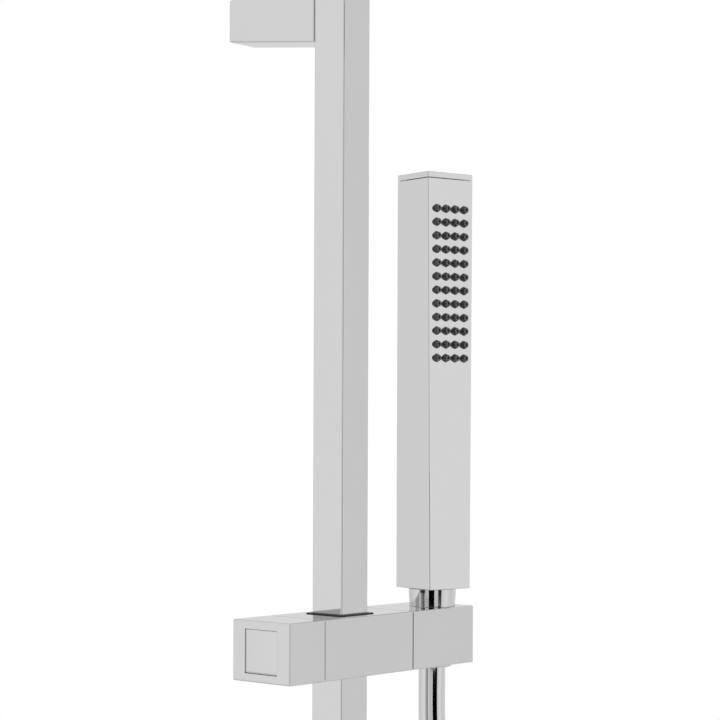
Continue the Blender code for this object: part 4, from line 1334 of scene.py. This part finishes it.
def make_cards(stage):
    """Black cards in front of the hose that only reflections show: they draw the line down it.

    They are aimed from the camera's side. Seen from elsewhere they can leave a black patch on chrome.
    """
    back = Vector((-math.sin(stage.heading), -math.cos(stage.heading), 0))
    right = Vector((-back.y, back.x, 0))
    cone_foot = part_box("hose_cone")[0].z
    distance, far = 0.30, 0.310
    for name, heading, width, low, high, near in (
        ("card_for_cone", math.radians(-6), 0.147, -0.036, 0.096, 0.262),
        ("card_for_hose", math.radians(18.5), 0.155, -0.134, -0.036, 0.288),
    ):
        toward = math.cos(heading) * back + math.sin(heading) * right
        across = Vector((-toward.y, toward.x, 0)) * width / 2
        place = Vector((*HANDSET_AXIS, cone_foot)) + distance * toward
        form = bmesh.new()
        corners = [
            place + side * across + Vector((0, 0, height))
            for side, height in ((-1, low), (1, low), (1, high), (-1, high))
        ]
        form.faces.new([form.verts.new(corner) for corner in corners])
        card = new_piece(name, form)
        card.data.materials.append(card_material(near, far))
        card.visible_camera = False
        card.visible_diffuse = False
        card.visible_shadow = False


def make_lights():
    """One broad soft lamp high on the left, and a weaker one on the right."""
    centre = (CAD_BOX[0] + CAD_BOX[1]) / 2
    for name, offset, size, power in (
        ("key", Vector((-2.2, -2.4, 1.8)), 1.6, 26.0),
        ("fill", Vector((2.4, -1.8, 0.6)), 2.0, 9.0),
    ):
        lamp = bpy.data.lights.new(name, "AREA")
        lamp.size = size
        lamp.energy = power
        light = bpy.data.objects.new(name, lamp)
        light.location = centre + offset
        light.rotation_euler = (-offset).to_track_quat("-Z", "Y").to_euler()
        light.visible_glossy = False
        bpy.context.scene.collection.objects.link(light)


# ---------------------------------------------------------------- operators


class ShowerOperator:
    """What the operators share."""

    bl_options = {"REGISTER", "UNDO"}

    def execute(self, context):
        self.build(context.scene)
        return {"FINISHED"}


class SHOWER_OT_camera(ShowerOperator, bpy.types.Operator):
    """Place the camera"""

    bl_idname = "shower.camera"
    bl_label = "Camera"

    def build(self, scene):
        make_camera(scene.shower_stage)
        scene.view_settings.view_transform = "Standard"


class SHOWER_OT_hose(ShowerOperator, bpy.types.Operator):
    """Build the hose along its route"""

    bl_idname = "shower.hose"
    bl_label = "Hose"

    def build(self, scene):
        make_ferrule()
        make_hose(scene.shower_hose)


class SHOWER_OT_column(ShowerOperator, bpy.types.Operator):
    """Build the column, the overhead arm and the wall bracket"""

    bl_idname = "shower.column"
    bl_label = "Column and Arm"

    def build(self, scene):
        make_column(scene.shower_column, scene.shower_edges)
        make_bracket(scene.shower_column, scene.shower_edges)


class SHOWER_OT_slider(ShowerOperator, bpy.types.Operator):
    """Build the slider's three blocks"""

    bl_idname = "shower.slider"
    bl_label = "Slider"

    def build(self, scene):
        make_slider(scene.shower_edges)
        make_lock_knob(scene.shower_edges)
        make_holder(scene.shower_edges)


class SHOWER_OT_handset(ShowerOperator, bpy.types.Operator):
    """Build the handset and the conical nut under it"""

    bl_idname = "shower.handset"
    bl_label = "Handset"

    def build(self, scene):
        make_handset(scene.shower_handset, scene.shower_edges)
        make_cone(scene.shower_edges)


class SHOWER_OT_rain_head(ShowerOperator, bpy.types.Operator):
    """Build the rain head, its nozzles and its ball joint"""

    bl_idname = "shower.rain_head"
    bl_label = "Rain Head"

    def build(self, scene):
        make_head(scene.shower_head, scene.shower_edges)
        make_head_joint(scene.shower_head)


class SHOWER_OT_mixer(ShowerOperator, bpy.types.Operator):
    """Build the bar mixer, its handles and its unions"""

    bl_idname = "shower.mixer"
    bl_label = "Mixer"

    def build(self, scene):
        make_mixer_body(scene.shower_mixer, scene.shower_edges)
        make_handles(scene.shower_mixer, scene.shower_edges)
        make_unions(scene.shower_mixer, scene.shower_edges)


class SHOWER_OT_carried_parts(ShowerOperator, bpy.types.Operator):
    """Give the carried-over parts their finishes"""

    bl_idname = "shower.carried_parts"
    bl_label = "Carried-over Parts"

    def build(self, scene):
        finish_carried_parts()


class SHOWER_OT_stage(ShowerOperator, bpy.types.Operator):
    """Set up the pale floor, the studio light and the black cards"""

    bl_idname = "shower.stage"
    bl_label = "Stage"

    def build(self, scene):
        make_floor(scene.shower_stage)
        make_cards(scene.shower_stage)
        make_lights()
        world_nodes(scene.shower_stage)


class SHOWER_PT_panel(bpy.types.Panel):
    """The pieces of the shower column"""

    bl_idname = "SHOWER_PT_panel"
    bl_label = "Shower Column"
    bl_space_type = "VIEW_3D"
    bl_region_type = "UI"
    bl_category = "Shower"

    def draw(self, context):
        for operator in OPERATORS:
            self.layout.operator(operator.bl_idname)
        for name in SETTINGS:
            settings = getattr(context.scene, name)
            column = self.layout.column(heading=name)
            for prop in settings.__annotations__:
                column.prop(settings, prop)


OPERATORS = (
    SHOWER_OT_camera,
    SHOWER_OT_hose,
    SHOWER_OT_column,
    SHOWER_OT_slider,
    SHOWER_OT_handset,
    SHOWER_OT_rain_head,
    SHOWER_OT_mixer,
    SHOWER_OT_carried_parts,
    SHOWER_OT_stage,
)
SETTINGS = {
    "shower_finish": FinishSettings,
    "shower_edges": EdgeSettings,
    "shower_column": ColumnSettings,
    "shower_handset": HandsetSettings,
    "shower_hose": HoseSettings,
    "shower_head": RainHeadSettings,
    "shower_mixer": MixerSettings,
    "shower_stage": StageSettings,
}


def register():
    for group in SETTINGS.values():
        bpy.utils.register_class(group)
    for operator in OPERATORS:
        bpy.utils.register_class(operator)
    bpy.utils.register_class(SHOWER_PT_panel)
    for name, group in SETTINGS.items():
        setattr(bpy.types.Scene, name, PointerProperty(type=group))


def unregister():
    for name in SETTINGS:
        delattr(bpy.types.Scene, name)
    bpy.utils.unregister_class(SHOWER_PT_panel)
    for operator in reversed(OPERATORS):
        bpy.utils.unregister_class(operator)
    for group in reversed(list(SETTINGS.values())):
        bpy.utils.unregister_class(group)


def main():
    register()
    bpy.ops.shower.camera()
    bpy.ops.shower.hose()
    bpy.ops.shower.column()
    bpy.ops.shower.slider()
    bpy.ops.shower.handset()
    bpy.ops.shower.rain_head()
    bpy.ops.shower.mixer()
    bpy.ops.shower.carried_parts()
    bpy.ops.shower.stage()
    bpy.context.view_layer.update()


if __name__ == "__main__":
    main()
